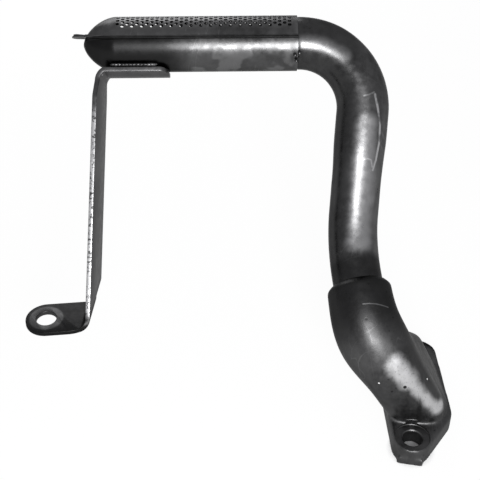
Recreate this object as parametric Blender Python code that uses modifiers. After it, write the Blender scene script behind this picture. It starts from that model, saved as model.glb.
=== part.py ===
"""Engine oil suction pipe: strainer head, bent tube, bracket and cast flange elbow.

Metres, +Z up. The flange's mating face lies in the plane z = 0, with the outlet's
centre at the origin. The tube, the head and the bracket follow one plane, the pipe
plane, which leans back over the flange. In the pipe plane's own frame +X runs from
the strainer's closed tip towards the tube, +Z up the plane and +Y behind it. The
head and the bracket have a frame of their own, on the head's axis.
"""

import bmesh
import bpy
from math import asin, atan2, ceil, cos, hypot, pi, radians, sin, sqrt, tan
from mathutils import Matrix, Vector

MM = 0.001

# Fits
GAP = 0.3 * MM

# Flange of the casting, along the line of its bolt holes
BOLT_SPACING = 64.0 * MM
BOLT_HOLE = 10.5 * MM
FLANGE_TURN = radians(-10.6)
FLANGE_THICKNESS = 10.0 * MM
EAR_RADIUS = 10.2 * MM
SHOULDER_RADIUS = 11.0 * MM
SHOULDER_OUT = 8.9 * MM
SHOULDER_ALONG = 11.2 * MM
SPOTFACE_RADIUS = 9.3 * MM
SPOTFACE_DEPTH = 1.0 * MM
GATE_WIDTH = 13.4 * MM
GATE_HEIGHT = 4.0 * MM
GATE_STAND = 0.2 * MM

# Cast elbow from the socket mouth to the outlet
MOUTH = Vector((-33.9 * MM, 20.5 * MM, 70.5 * MM))
SOCKET_TURN = radians(8.5)
SOCKET_NOD = radians(20.0)
SOCKET_RADIUS = 16.8 * MM
SOCKET_CHAMFER = 3.0 * MM
SOCKET_DEPTH = 16.0 * MM
ELBOW_LEAD_IN = 18.0 * MM
ELBOW_KNEE = Vector((-32.0 * MM, -10.7 * MM, 47.0 * MM))
ELBOW_LEAD_OUT = Vector((-5.4 * MM, 2.8 * MM, 28.0 * MM))
ELBOW_SWELL = 1.8 * MM
FOOTPRINT_INSET = 0.8 * MM
FOOTPRINT_END_ALONG = 13.0 * MM
FOOTPRINT_END_OUT = 1.0 * MM
FOOTPRINT_END_RADIUS = 9.5 * MM
BACK_SHOULDER = Vector((-3.7 * MM, 16.8 * MM, 28.0 * MM))
BACK_SHOULDER_RADIUS = 8.3 * MM
BACK_FOOT = Vector((7.0 * MM, 17.0 * MM, 9.0 * MM))
BACK_FOOT_RADIUS = 7.0 * MM
RIDGE_FOOT = Vector((9.5 * MM, -8.0 * MM, 7.0 * MM))
RIDGE_FOOT_RADIUS = 7.5 * MM
BACK_ROOT_SHARE = 0.6
OUTLET_RADIUS = 12.0 * MM
CAST_STOCK = 2.0 * MM
CAST_VOXEL = 1.5 * MM
CAST_KEEP = 0.11

# Pipe plane
LEAN = radians(38.0)

# Suction tube
TUBE_RADIUS = 14.0 * MM
TUBE_WALL = 1.5 * MM
TUBE_SWAGED_RADIUS = 13.2 * MM
SWAGE_START = 58.0 * MM
SWAGE_END = 34.0 * MM
TUBE_SPIGOT_RADIUS = 13.7 * MM
TUBE_DROP_TURN = radians(5.1)
TUBE_BEND_RADIUS = 34.0 * MM
TUBE_LOW_BEND_RADIUS = 90.0 * MM
KNEE_TO_MOUTH = 22.1 * MM
TUBE_IN_HEAD = 12.0 * MM

# Strainer head, from the corner where its axis meets the tube's drop
HEAD_HEIGHT = 107.8 * MM
HEAD_TILT = radians(0.5)
NECK_X = -38.4 * MM
HEAD_LENGTH = 113.6 * MM
SHEET = 0.6 * MM
NOSE_LENGTH = 17.6 * MM
NOSE_POWER = 1.65
SEAM_HEIGHT = 1.0 * MM
SEAM_RISE = 3.6 * MM
RIM_WIDTH = 1.2 * MM
TONGUE_LENGTH = 6.0 * MM
TONGUE_WIDTH = 6.0 * MM
PERF_HOLE = 2.7 * MM
PERF_PITCH = 5.2 * MM
PERF_HALF_ANGLE = radians(60.0)
PERF_FROM_NOSE = 0.5 * MM
PERF_FROM_NECK = 4.5 * MM

# Bracket
BAR_THICKNESS = 2.5 * MM
BAR_WIDTH = 26.0 * MM
BAR_OFFSET = -2.0 * MM
ARM_LENGTH = 36.4 * MM
ARM_WIDTH = 20.0 * MM
ARM_TAPER = 5.0 * MM
ARM_CORNER_RADIUS = 5.5 * MM
SADDLE_RADIUS = 32.0 * MM
STRAP_TOP_X = -142.8 * MM
STRAP_TILT = radians(2.3)
BAR_ROLL = radians(4.1)
FOLD_RADIUS = 3.8 * MM
FOOT_HEIGHT = 55.5 * MM
FOOT_HOLE_PLACE = Vector((-197.4 * MM, 7.5 * MM))
FOOT_TURN = radians(6.0)
FOOT_WIDTH = 22.4 * MM
FOOT_END = 10.8 * MM
FOOT_CORNER_RADIUS = 11.0 * MM
FOOT_KNEE_RADIUS = 17.0 * MM
FOOT_HOLE = 10.5 * MM

# Welds
BEAD_RADIUS = 0.95 * MM
BEAD_SIDE = 10.2 * MM
BEAD_DROP = 12.35 * MM
BEAD_FROM_STRAP = 6.0 * MM
BEAD_FROM_END = 5.5 * MM
BEAD_PITCH = 2.0 * MM
TACK_RADIUS = 1.0 * MM
TACK_PLACES = ((0.7 * MM, radians(29.5)), (-1.6 * MM, radians(34.0)), (-0.9 * MM, radians(45.5)))

# Facets
TUBE_SIDES = 24
HOLE_SIDES = 24
SHELL_SIDES = 32
NOSE_STEPS = 6
FOLD_STEPS = 5
SADDLE_STEPS = 4
TURN_STEP = radians(8.0)


def clear_scene():
    for old in list(bpy.data.objects):
        bpy.data.objects.remove(old, do_unlink=True)


def material(name, colour, roughness, metallic):
    made = bpy.data.materials.new(name)
    made.use_nodes = True
    shader = made.node_tree.nodes["Principled BSDF"]
    shader.inputs["Base Color"].default_value = (*colour, 1.0)
    shader.inputs["Roughness"].default_value = roughness
    shader.inputs["Metallic"].default_value = metallic
    return made


def smoothstep(value):
    value = min(1.0, max(0.0, value))
    return value * value * (3.0 - 2.0 * value)


def add_object(name, data, collection, mat=None, parent=None):
    made = bpy.data.objects.new(name, data)
    collection.objects.link(made)
    made.parent = parent
    if mat is not None:
        data.materials.append(mat)
    return made


def mesh_from_bmesh(name, bm):
    mesh = bpy.data.meshes.new(name)
    bm.to_mesh(mesh)
    bm.free()
    return mesh


def mesh_from_curve(name, curve, collection, weld=0.00001):
    """The mesh of a curve's evaluated object, with its loose caps welded."""
    guide = add_object(name + "_curve", curve, collection)
    bpy.context.view_layer.update()
    graph = bpy.context.evaluated_depsgraph_get()
    mesh = bpy.data.meshes.new_from_object(guide.evaluated_get(graph))
    mesh.name = name
    bpy.data.objects.remove(guide, do_unlink=True)
    bm = bmesh.new()
    bm.from_mesh(mesh)
    bmesh.ops.remove_doubles(bm, verts=bm.verts, dist=weld)
    bm.to_mesh(mesh)
    bm.free()
    return mesh


def shade_round(mesh, angle=radians(35.0)):
    mesh.shade_smooth()
    mesh.set_sharp_from_angle(angle=angle)


def path_curve(name, path, radius, sides, scales=None):
    """A round bar or tube along a path, its radius scaled at each point."""
    curve = bpy.data.curves.new(name, "CURVE")
    curve.dimensions = "3D"
    curve.bevel_depth = radius
    curve.bevel_resolution = (sides - 4) // 2
    spline = curve.splines.new("POLY")
    spline.points.add(len(path) - 1)
    for point, place, scale in zip(spline.points, path, scales or [1.0] * len(path)):
        point.co = (*place, 1.0)
        point.radius = scale
    return curve


def flat_curve(name, outlines, half_depth=0.0):
    """A flat curve filled between its outlines, extruded to both sides."""
    curve = bpy.data.curves.new(name, "CURVE")
    curve.dimensions = "2D"
    curve.fill_mode = "BOTH"
    curve.extrude = half_depth
    for outline in outlines:
        spline = curve.splines.new("POLY")
        spline.points.add(len(outline) - 1)
        for point, (x, y) in zip(spline.points, outline):
            point.co = (x, y, 0.0, 1.0)
        spline.use_cyclic_u = True
    return curve


def circle_outline(x, y, radius, sides=HOLE_SIDES):
    return [(x + radius * cos(2 * pi * k / sides), y + radius * sin(2 * pi * k / sides))
            for k in range(sides)]


def belt_outline(circles):
    """The outline that a belt takes round circles given as (x, y, radius), in turn."""
    count = len(circles)
    normals = []
    for index in range(count):
        x0, y0, r0 = circles[index]
        x1, y1, r1 = circles[(index + 1) % count]
        run = hypot(x1 - x0, y1 - y0)
        normals.append(atan2(y1 - y0, x1 - x0) - pi / 2 + asin((r0 - r1) / run))
    points = []
    for index, (x, y, radius) in enumerate(circles):
        start, end = normals[index - 1], normals[index]
        while end < start:
            end += 2 * pi
        steps = max(1, ceil((end - start) / radians(12.0)))
        for k in range(steps + 1):
            angle = start + (end - start) * k / steps
            points.append((x + radius * cos(angle), y + radius * sin(angle)))
    return points


def reach_of_outline(outline, angle):
    """How far an outline round the origin lies from it in one direction."""
    dx, dy = cos(angle), sin(angle)
    furthest = 0.0
    for (ax, ay), (bx, by) in zip(outline, outline[1:] + outline[:1]):
        ex, ey = bx - ax, by - ay
        slant = dx * ey - dy * ex
        if abs(slant) < 1e-12:
            continue
        out = (ax * ey - ay * ex) / slant
        share = (ax * dy - ay * dx) / slant
        if -1e-6 <= share <= 1 + 1e-6:
            furthest = max(furthest, out)
    return furthest


def rounded_outline(corners):
    """A closed outline with each corner (x, y, radius) turned as an arc."""
    count = len(corners)
    points = []
    for index, (x, y, radius) in enumerate(corners):
        corner = Vector((x, y))
        back = (Vector(corners[index - 1][:2]) - corner).normalized()
        ahead = (Vector(corners[(index + 1) % count][:2]) - corner).normalized()
        opening = back.angle(ahead)
        centre = corner + (back + ahead).normalized() * (radius / sin(opening / 2))
        first = corner + back * (radius / tan(opening / 2)) - centre
        turn = pi - opening
        if back.cross(ahead) > 0:
            turn = -turn
        steps = max(1, ceil(abs(turn) / radians(12.0)))
        for k in range(steps + 1):
            points.append(tuple(centre + Matrix.Rotation(turn * k / steps, 2) @ first))
    return points


def filleted_path(corners, radii, step):
    """Points along a path whose inner corners are arcs of the given radii."""
    points = [corners[0]]
    for index in range(1, len(corners) - 1):
        corner, radius = corners[index], radii[index - 1]
        back = (corners[index - 1] - corner).normalized()
        ahead = (corners[index + 1] - corner).normalized()
        opening = back.angle(ahead)
        centre = corner + (back + ahead).normalized() * (radius / sin(opening / 2))
        spoke = corner + back * (radius / tan(opening / 2)) - centre
        turn = pi - opening
        steps = ceil(turn / step)
        for k in range(steps + 1):
            swing = Matrix.Rotation(turn * k / steps, 3, (-back).cross(ahead))
            points.append(centre + swing @ spoke)
    points.append(corners[-1])
    return points


# Directions and places that several pieces share

PLANE_TURN = Matrix.Rotation(-LEAN, 3, "X")
HEAD_TURN = PLANE_TURN @ Matrix.Rotation(-HEAD_TILT, 3, "Y")
SOCKET_DOWN = Vector((sin(SOCKET_TURN) * cos(SOCKET_NOD), -sin(SOCKET_NOD),
                      -cos(SOCKET_TURN) * cos(SOCKET_NOD)))
SOCKET_DOWN_WORLD = PLANE_TURN @ SOCKET_DOWN
KNEE_WORLD = MOUTH - SOCKET_DOWN_WORLD * KNEE_TO_MOUTH
HEAD_CORNER = Vector((HEAD_HEIGHT * tan(TUBE_DROP_TURN), 0.0, HEAD_HEIGHT))
HEAD_CORNER_WORLD = KNEE_WORLD + PLANE_TURN @ HEAD_CORNER
HEAD_AXIS = Vector((cos(HEAD_TILT), 0.0, sin(HEAD_TILT)))
HEAD_RADIUS = TUBE_SPIGOT_RADIUS + GAP + SHEET
SOCKET_BORE_RADIUS = TUBE_SWAGED_RADIUS + GAP
FLANGE_FRAME = Matrix.Rotation(FLANGE_TURN, 4, "Z")


def suction_tube(parts, mat, plane):
    """The bent tube, open at both ends and swaged a little where it meets the socket."""
    corners = [HEAD_CORNER + HEAD_AXIS * (NECK_X - TUBE_IN_HEAD), HEAD_CORNER,
               Vector((0, 0, 0)), SOCKET_DOWN * (KNEE_TO_MOUTH + SOCKET_DEPTH - GAP)]
    path = filleted_path(corners, (TUBE_BEND_RADIUS, TUBE_LOW_BEND_RADIUS), TURN_STEP)
    for place in (SWAGE_START, (SWAGE_START + SWAGE_END) / 2, SWAGE_END):
        after = next(k for k, point in enumerate(path) if k and point.z < place)
        share = (path[after - 1].z - place) / (path[after - 1].z - path[after].z)
        path.insert(after, path[after - 1].lerp(path[after], share))
    swage = TUBE_SWAGED_RADIUS / TUBE_RADIUS - 1.0
    scales = [1.0 + swage * smoothstep((SWAGE_START - place.z) / (SWAGE_START - SWAGE_END))
              for place in path]
    path.insert(1, HEAD_CORNER + HEAD_AXIS * (NECK_X + GAP / 2))
    scales[0] = TUBE_SPIGOT_RADIUS / TUBE_RADIUS
    scales.insert(1, scales[0])
    curve = path_curve("suction_tube", path, TUBE_RADIUS, TUBE_SIDES, scales)
    mesh = mesh_from_curve("suction_tube", curve, parts)
    shade_round(mesh)
    tube = add_object("suction_tube", mesh, parts, mat, plane)
    wall = tube.modifiers.new("wall", "SOLIDIFY")
    wall.thickness = TUBE_WALL
    wall.offset = -1.0
    wall.use_even_offset = True


def seam_height(x):
    """Height of the seam over the head's axis: level, then rising over the nose."""
    share = (NECK_X - HEAD_LENGTH + NOSE_LENGTH - x) / NOSE_LENGTH
    return SEAM_HEIGHT + SEAM_RISE * min(1.0, max(0.0, share)) ** 2


def shear_to_seam(bm, direction):
    for vert in bm.verts:
        vert.co.z += direction * seam_height(vert.co.x)


def head_skin(perforated):
    """The whole outer skin of the head, open at the neck, as a mesh and its grid."""
    nose_x = NECK_X - HEAD_LENGTH + NOSE_LENGTH
    perf_from, perf_to = NECK_X - PERF_FROM_NECK, nose_x + PERF_FROM_NOSE
    bays = round((perf_from - perf_to) / (PERF_PITCH * sqrt(3)))
    stations = [(NECK_X, HEAD_RADIUS)]
    if perforated:
        stations += [(perf_from + (perf_to - perf_from) * k / bays, HEAD_RADIUS)
                     for k in range(bays + 1)]
    for k in range(NOSE_STEPS):
        angle = pi / 2 * (1 - k / NOSE_STEPS)
        stations.append((nose_x - NOSE_LENGTH * cos(angle) ** (2 / NOSE_POWER),
                         HEAD_RADIUS * sin(angle) ** (2 / NOSE_POWER)))
    bm = bmesh.new()
    grid = []
    for x, radius in stations:
        ring = []
        for k in range(SHELL_SIDES):
            angle = 2 * pi * k / SHELL_SIDES - pi
            ring.append(bm.verts.new((x, radius * sin(angle), radius * cos(angle))))
        grid.append(ring)
    grid.append([bm.verts.new((nose_x - NOSE_LENGTH, 0, 0))] * SHELL_SIDES)
    perf_steps = round(PERF_HALF_ANGLE / (2 * pi) * SHELL_SIDES)
    low, high = SHELL_SIDES // 2 - perf_steps, SHELL_SIDES // 2 + perf_steps
    for row in range(len(grid) - 1):
        for k in range(SHELL_SIDES):
            if perforated and 1 <= row <= bays and low <= k < high:
                continue
            after = (k + 1) % SHELL_SIDES
            corners = [grid[row][k], grid[row + 1][k], grid[row + 1][after], grid[row][after]]
            bm.faces.new(list(dict.fromkeys(corners)))
    if perforated:
        perforate(bm, grid, bays, low, high)
    return bm


def perforate(bm, grid, bays, low, high):
    """Fill the window left in the skin with sheet that has staggered six-sided holes."""
    border = [grid[1 + bays][k] for k in range(low, high + 1)]
    border += [grid[row][high] for row in range(bays, 0, -1)]
    border += [grid[1][k] for k in range(high - 1, low - 1, -1)]
    border += [grid[row][low] for row in range(2, bays + 1)]
    flat = {vert: (vert.co.x, atan2(vert.co.y, vert.co.z) * HEAD_RADIUS) for vert in border}
    edges = []
    for index, vert in enumerate(border):
        ahead = border[(index + 1) % len(border)]
        edges.append(bm.edges.get((vert, ahead)) or bm.edges.new((vert, ahead)))
    x_low, x_high = grid[1 + bays][low].co.x, grid[1][low].co.x
    window = 2 * flat[grid[1][high]][1] - PERF_HOLE - MM
    rows = int(window / (PERF_PITCH / 2)) + 1
    column_gap = (x_high - x_low) / bays
    for row in range(rows):
        v = (row - (rows - 1) / 2) * PERF_PITCH / 2
        shift = 0.25 if row % 2 else 0.75
        for column in range(bays):
            u = x_low + (column + shift) * column_gap
            hole = []
            for hu, hv in circle_outline(u, v, PERF_HOLE / 2, 6):
                vert = bm.verts.new((hu, hv, 0))
                flat[vert] = (hu, hv)
                hole.append(vert)
            edges += [bm.edges.new((hole[k - 1], hole[k])) for k in range(6)]
    for vert, (u, v) in flat.items():
        vert.co = (u, v, 0)
    bmesh.ops.triangle_fill(bm, edges=edges, use_beauty=True, normal=(0, 0, 1))
    for vert, (u, v) in flat.items():
        angle = v / HEAD_RADIUS
        vert.co = (u, HEAD_RADIUS * sin(angle), HEAD_RADIUS * cos(angle))


def add_rim(bm, level):
    """Turn the sheet outward along the seam, and run it out into the tongue at the tip."""
    edges = [edge for edge in bm.edges if all(abs(vert.co.z - level) < 1e-7 for vert in edge.verts)]
    neck = Vector((NECK_X, 0, level))
    outward = {}
    for edge in edges:
        one, two = edge.verts
        normal = (two.co - one.co).cross(Vector((0, 0, 1))).normalized()
        if normal.dot((one.co + two.co) / 2 - neck) < 0:
            normal = -normal
        for vert in edge.verts:
            outward.setdefault(vert, Vector())
            outward[vert] += normal
    outer = {vert: bm.verts.new(vert.co + normal.normalized() * RIM_WIDTH)
             for vert, normal in outward.items()}
    half = TONGUE_WIDTH / 2
    tip_x = min(vert.co.x for vert in outer.values()) - TONGUE_LENGTH
    ends = {}
    for vert, edge_vert in outer.items():
        if abs(vert.co.y) < half + 1e-6:
            edge_vert.co.y = vert.co.y
            share = vert.co.y / half
            x = tip_x + (1 - sqrt(1 - 0.9 * min(1.0, share * share))) * half
            ends[edge_vert] = bm.verts.new((x, vert.co.y, level))
    for edge in edges:
        one, two = edge.verts
        bm.faces.new((one, two, outer[two], outer[one]))
        if outer[one] in ends and outer[two] in ends:
            bm.faces.new((outer[one], outer[two], ends[outer[two]], ends[outer[one]]))


def half_shell(name, upper, parts, mat, head):
    """Half of the strainer head with its seam rim; the upper one is perforated."""
    bm = head_skin(upper)
    nose_x = NECK_X - HEAD_LENGTH + NOSE_LENGTH
    for side in (-1, 1):
        nose = [face for face in bm.faces if face.calc_center_median().x < nose_x]
        geom = nose + list({edge for face in nose for edge in face.edges})
        geom += list({vert for face in nose for vert in face.verts})
        bmesh.ops.bisect_plane(bm, geom=geom, dist=1e-6, plane_co=(0, side * TONGUE_WIDTH / 2, 0),
                               plane_no=(0, 1, 0))
    shear_to_seam(bm, -1)
    level = (GAP / 2 + SHEET) * (1 if upper else -1)
    everything = bm.verts[:] + bm.edges[:] + bm.faces[:]
    bmesh.ops.bisect_plane(bm, geom=everything, dist=1e-7, plane_co=(0, 0, level),
                           plane_no=(0, 0, 1), clear_inner=upper, clear_outer=not upper)
    add_rim(bm, level)
    shear_to_seam(bm, 1)
    bmesh.ops.recalc_face_normals(bm, faces=bm.faces)
    side = 1 if upper else -1
    crown = max(bm.faces, key=lambda face: side * face.calc_center_median().z)
    if side * crown.normal.z < 0:
        bmesh.ops.reverse_faces(bm, faces=bm.faces)
    mesh = mesh_from_bmesh(name, bm)
    shade_round(mesh)
    shell = add_object(name, mesh, parts, mat, head)
    wall = shell.modifiers.new("sheet", "SOLIDIFY")
    wall.thickness = SHEET
    wall.offset = -1.0
    wall.use_even_offset = True


def fold(distance, angle, setback):
    """Run along the sheet and rise off it, past a fold that starts before its corner."""
    past = distance + setback
    if past <= 0:
        return distance, 0.0
    turned = min(past / FOLD_RADIUS, angle)
    rest = past - turned * FOLD_RADIUS
    return (-setback + FOLD_RADIUS * sin(turned) + rest * cos(turned),
            FOLD_RADIUS * (1 - cos(turned)) + rest * sin(turned))


def support_bracket(parts, mat, head):
    """Flat bar cut as one blank, folded under the head and folded again into the foot."""
    half = BAR_THICKNESS / 2
    up = Vector((sin(STRAP_TILT), 0, cos(STRAP_TILT)))
    out = Vector((-cos(STRAP_TILT), 0, sin(STRAP_TILT)))
    bar_frame = Matrix.Rotation(-BAR_ROLL, 3, up) @ Matrix((Vector((0, 1, 0)), up, out)).transposed()
    corner = Vector((STRAP_TOP_X, 0, -(HEAD_RADIUS + GAP + half)))
    corner_world = HEAD_CORNER_WORLD + HEAD_TURN @ corner

    rise = (HEAD_TURN @ bar_frame).transposed() @ Vector((0, 0, 1))
    slope = hypot(rise.x, rise.y)
    down = Vector((-rise.x, -rise.y)) / slope
    across = Vector((rise.y, -rise.x)) / slope
    arm_fold = pi / 2 - STRAP_TILT
    foot_fold = atan2(slope, rise.z)
    arm_set = FOLD_RADIUS * tan(arm_fold / 2)
    foot_set = FOLD_RADIUS * tan(foot_fold / 2)
    arm_fold_run = FOLD_RADIUS * arm_fold
    arm_end = ARM_LENGTH - 2 * arm_set + arm_fold_run
    line = Vector((0, (FOOT_HEIGHT + half - corner_world.z) / rise.y))
    line_world = (corner_world + HEAD_TURN @ bar_frame @ line.to_3d()).xy
    fold_way = (HEAD_TURN @ bar_frame @ across.to_3d()).xy
    beyond = Vector((-fold_way.y, fold_way.x))
    foot_way = Vector((-cos(FOOT_TURN), -sin(FOOT_TURN)))

    def on_foot(along, side):
        """The blank's point that comes to lie along the foot from its hole, and to one side."""
        place = FOOT_HOLE_PLACE + foot_way * along + Vector((foot_way.y, -foot_way.x)) * side
        place -= line_world
        run = place.dot(beyond) - 2 * foot_set + FOLD_RADIUS * foot_fold
        return line + across * place.dot(fold_way) + down * run

    def on_arm(side, height):
        """The blank's point at a side of the arm, which runs along the head despite the roll."""
        middle = (height + arm_set) * tan(BAR_ROLL)
        return middle + side * cos(BAR_ROLL), height - side * sin(BAR_ROLL)

    def crossing(one, two, start, way):
        """Where the line through two points meets the line from a start along a way."""
        run = two - one
        return one + run * ((start - one).cross(way) / run.cross(way))

    front, back = BAR_OFFSET - BAR_WIDTH / 2, BAR_OFFSET + BAR_WIDTH / 2
    side = FOOT_WIDTH / 2
    near_end, far_end = on_foot(FOOT_END, -side), on_foot(FOOT_END, side)
    fold_start = line - down * foot_set
    knee = crossing(on_foot(0, -side), near_end, Vector((front, 0)), Vector((0, 1)))
    notch = crossing(on_foot(0, side), far_end, fold_start, across)
    notch_back = crossing(fold_start, fold_start + across, Vector((back, 0)), Vector((0, 1)))
    arm_side, neck_low = ARM_WIDTH / 2, -arm_set - FOLD_RADIUS - ARM_TAPER
    corners = [(*on_arm(-arm_side, arm_end), ARM_CORNER_RADIUS), (-arm_side, -arm_set, ARM_TAPER),
               (front, neck_low, ARM_TAPER), (*knee, FOOT_KNEE_RADIUS),
               (*near_end, FOOT_CORNER_RADIUS), (*far_end, FOOT_CORNER_RADIUS),
               (*notch, 1.5 * MM), (*notch_back, 2.0 * MM), (back, neck_low, ARM_TAPER),
               (arm_side, -arm_set, ARM_TAPER), (*on_arm(arm_side, arm_end), ARM_CORNER_RADIUS)]
    outlines = [rounded_outline(corners), circle_outline(*on_foot(0, 0), FOOT_HOLE / 2)]
    blank = flat_curve("blank", outlines)
    mesh = mesh_from_curve("support_bracket", blank, parts)

    bm = bmesh.new()
    bm.from_mesh(mesh)
    for k in range(FOLD_STEPS + 1):
        everything = bm.verts[:] + bm.edges[:] + bm.faces[:]
        height = -arm_set + FOLD_RADIUS * arm_fold * k / FOLD_STEPS
        bmesh.ops.bisect_plane(bm, geom=everything, dist=1e-6, plane_co=(0, height, 0),
                               plane_no=(0, 1, 0))
        everything = bm.verts[:] + bm.edges[:] + bm.faces[:]
        place = line + down * (-foot_set + FOLD_RADIUS * foot_fold * k / FOLD_STEPS)
        bmesh.ops.bisect_plane(bm, geom=everything, dist=1e-6, plane_co=place.to_3d(),
                               plane_no=down.to_3d())
    for k in range(1, SADDLE_STEPS):
        faces = [face for face in bm.faces if face.calc_center_median().y > -arm_set]
        geom = faces + list({edge for face in faces for edge in face.edges})
        geom += list({vert for face in faces for vert in face.verts})
        bmesh.ops.bisect_plane(bm, geom=geom, dist=1e-6, plane_no=(1, 0, 0),
                               plane_co=(ARM_WIDTH * (k / SADDLE_STEPS - 0.5), 0, 0))
    for vert in bm.verts:
        flat = Vector(vert.co.xy)
        height, lift = fold(flat.y, arm_fold, arm_set)
        off_middle = flat.x - max(0.0, flat.y + arm_set) * tan(BAR_ROLL)
        height += off_middle ** 2 / (2 * SADDLE_RADIUS) * smoothstep((flat.y + arm_set) / arm_fold_run)
        place = Vector((flat.x, height, -lift))
        below = (flat - line).dot(down)
        if below > -foot_set:
            run, lift = fold(below, foot_fold, foot_set)
            place = (flat + down * (run - below)).to_3d() + Vector((0, 0, lift))
        vert.co = corner + bar_frame @ place
    bmesh.ops.recalc_face_normals(bm, faces=bm.faces)
    bm.to_mesh(mesh)
    bm.free()
    shade_round(mesh)
    bracket = add_object("support_bracket", mesh, parts, mat, head)
    plate = bracket.modifiers.new("plate", "SOLIDIFY")
    plate.thickness = BAR_THICKNESS
    plate.offset = 0.0
    plate.use_even_offset = True


def weld_bead(name, side, parts, mat, head):
    """A rippled bead in the corner between the head and one long edge of the arm."""
    start, end = STRAP_TOP_X + BEAD_FROM_STRAP, STRAP_TOP_X + ARM_LENGTH - BEAD_FROM_END
    count = 2 * round((end - start) / BEAD_PITCH)
    path = [Vector((start + (end - start) * k / count, side * BEAD_SIDE, -BEAD_DROP))
            for k in range(count + 1)]
    scales = [1.0 if k % 2 else 0.8 for k in range(count + 1)]
    scales[0] = scales[-1] = 0.5
    curve = path_curve(name, path, BEAD_RADIUS, 6, scales)
    curve.use_fill_caps = True
    mesh = mesh_from_curve(name, curve, parts)
    shade_round(mesh, radians(60.0))
    add_object(name, mesh, parts, mat, head)


def tack_weld(name, along, angle, parts, mat, head):
    """A small tack where the tube enters the head, on the side towards the viewer."""
    bm = bmesh.new()
    bmesh.ops.create_icosphere(bm, subdivisions=2, radius=TACK_RADIUS)
    reach = HEAD_RADIUS + GAP + TACK_RADIUS
    place = (NECK_X + along, -reach * cos(angle), -reach * sin(angle))
    bmesh.ops.translate(bm, vec=place, verts=bm.verts)
    mesh = mesh_from_bmesh(name, bm)
    shade_round(mesh, radians(60.0))
    add_object(name, mesh, parts, mat, head)


def elbow_point(share):
    """The elbow's centreline, a Bezier from the socket mouth at 0 to the outlet at 1."""
    points = [MOUTH, MOUTH + SOCKET_DOWN_WORLD * ELBOW_LEAD_IN, ELBOW_KNEE, ELBOW_LEAD_OUT,
              Vector((0, 0, 0))]
    while len(points) > 1:
        points = [one.lerp(two, share) for one, two in zip(points, points[1:])]
    return points[0]


def elbow_frame(share):
    """Centre and the two section axes at a share of the elbow."""
    small = 1e-3
    run = elbow_point(min(1.0, share + small)) - elbow_point(max(0.0, share - small))
    run.normalize()
    wide = Vector((1, 0, 0))
    wide = (wide - run * wide.dot(run)).normalized()
    return elbow_point(share), wide, wide.cross(run)


def elbow_blank(cutters):
    """The solid elbow: a loft from the round socket to the footprint on the flange."""
    end = (-FOOTPRINT_END_OUT, -FOOTPRINT_END_ALONG, FOOTPRINT_END_RADIUS)
    shoulder = (SHOULDER_OUT, -SHOULDER_ALONG, SHOULDER_RADIUS - FOOTPRINT_INSET)
    circles = [end, shoulder] + [(-x, -y, radius) for x, y, radius in (end, shoulder)]
    footprint = belt_outline(circles)
    sides = 40
    mouth_share = SOCKET_CHAMFER / (4 * ELBOW_LEAD_IN)
    shares = [0.0, mouth_share] + [0.1 + 0.9 * k / 14 for k in range(15)]
    bm = bmesh.new()
    rings = []
    for share in shares:
        centre, wide, deep = elbow_frame(share)
        blend = smoothstep((share - 0.3) / 0.6)
        twist = FLANGE_TURN * blend
        ring = []
        for k in range(sides):
            angle = 2 * pi * k / sides
            radius = SOCKET_RADIUS * (1 - blend) + reach_of_outline(footprint, angle) * blend
            radius += ELBOW_SWELL * sin(pi * share) ** 2
            if share == 0.0:
                radius -= SOCKET_CHAMFER
            place = wide * (radius * cos(angle + twist)) + deep * (radius * sin(angle + twist))
            ring.append(bm.verts.new(centre + place))
        rings.append(ring)
    for one, two in zip(rings, rings[1:]):
        for k in range(sides):
            bm.faces.new((one[k - 1], one[k], two[k], two[k - 1]))
    bm.faces.new(rings[0])
    bm.faces.new(rings[-1])
    bmesh.ops.recalc_face_normals(bm, faces=bm.faces)
    return add_cutter("elbow_blank", mesh_from_bmesh("elbow_blank", bm), cutters)


def back_shoulder(cutters):
    """The shoulder behind the elbow, and the flank that runs from its ridge to the flange."""
    ball = bmesh.new()
    bmesh.ops.create_icosphere(ball, subdivisions=3, radius=1.0)
    bm = bmesh.new()
    for centre, radius in ((elbow_point(BACK_ROOT_SHARE), SOCKET_RADIUS + ELBOW_SWELL / 2),
                           (BACK_SHOULDER, BACK_SHOULDER_RADIUS), (BACK_FOOT, BACK_FOOT_RADIUS),
                           (RIDGE_FOOT, RIDGE_FOOT_RADIUS)):
        for vert in ball.verts:
            bm.verts.new(centre + vert.co * radius)
    ball.free()
    bmesh.ops.convex_hull(bm, input=bm.verts)
    inner = [vert for vert in bm.verts if not vert.link_faces]
    bmesh.ops.delete(bm, geom=inner, context="VERTS")
    bmesh.ops.recalc_face_normals(bm, faces=bm.faces)
    return add_cutter("back_shoulder", mesh_from_bmesh("back_shoulder", bm), cutters)


def add_cutter(name, mesh, cutters):
    cutter = add_object(name, mesh, cutters)
    cutter.hide_render = True
    cutter.display_type = "WIRE"
    return cutter


def box_cutter(name, low, high, cutters):
    """A box between two corners given in the flange's own frame."""
    bm = bmesh.new()
    bmesh.ops.create_cube(bm, size=1.0)
    bmesh.ops.scale(bm, vec=high - low, verts=bm.verts)
    bmesh.ops.translate(bm, vec=(low + high) / 2, verts=bm.verts)
    bmesh.ops.transform(bm, matrix=FLANGE_FRAME, verts=bm.verts)
    return add_cutter(name, mesh_from_bmesh(name, bm), cutters)


def round_cutter(name, radius, start, end, cutters, sides=HOLE_SIDES):
    """A closed cylinder between two points, for a bore, a pocket or a hole."""
    axis = end - start
    bm = bmesh.new()
    bmesh.ops.create_cone(bm, cap_ends=True, segments=sides, radius1=radius, radius2=radius,
                          depth=axis.length)
    turn = axis.to_track_quat("Z", "Y").to_matrix().to_4x4()
    bmesh.ops.transform(bm, matrix=Matrix.Translation((start + end) / 2) @ turn, verts=bm.verts)
    return add_cutter(name, mesh_from_bmesh(name, bm), cutters)


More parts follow.
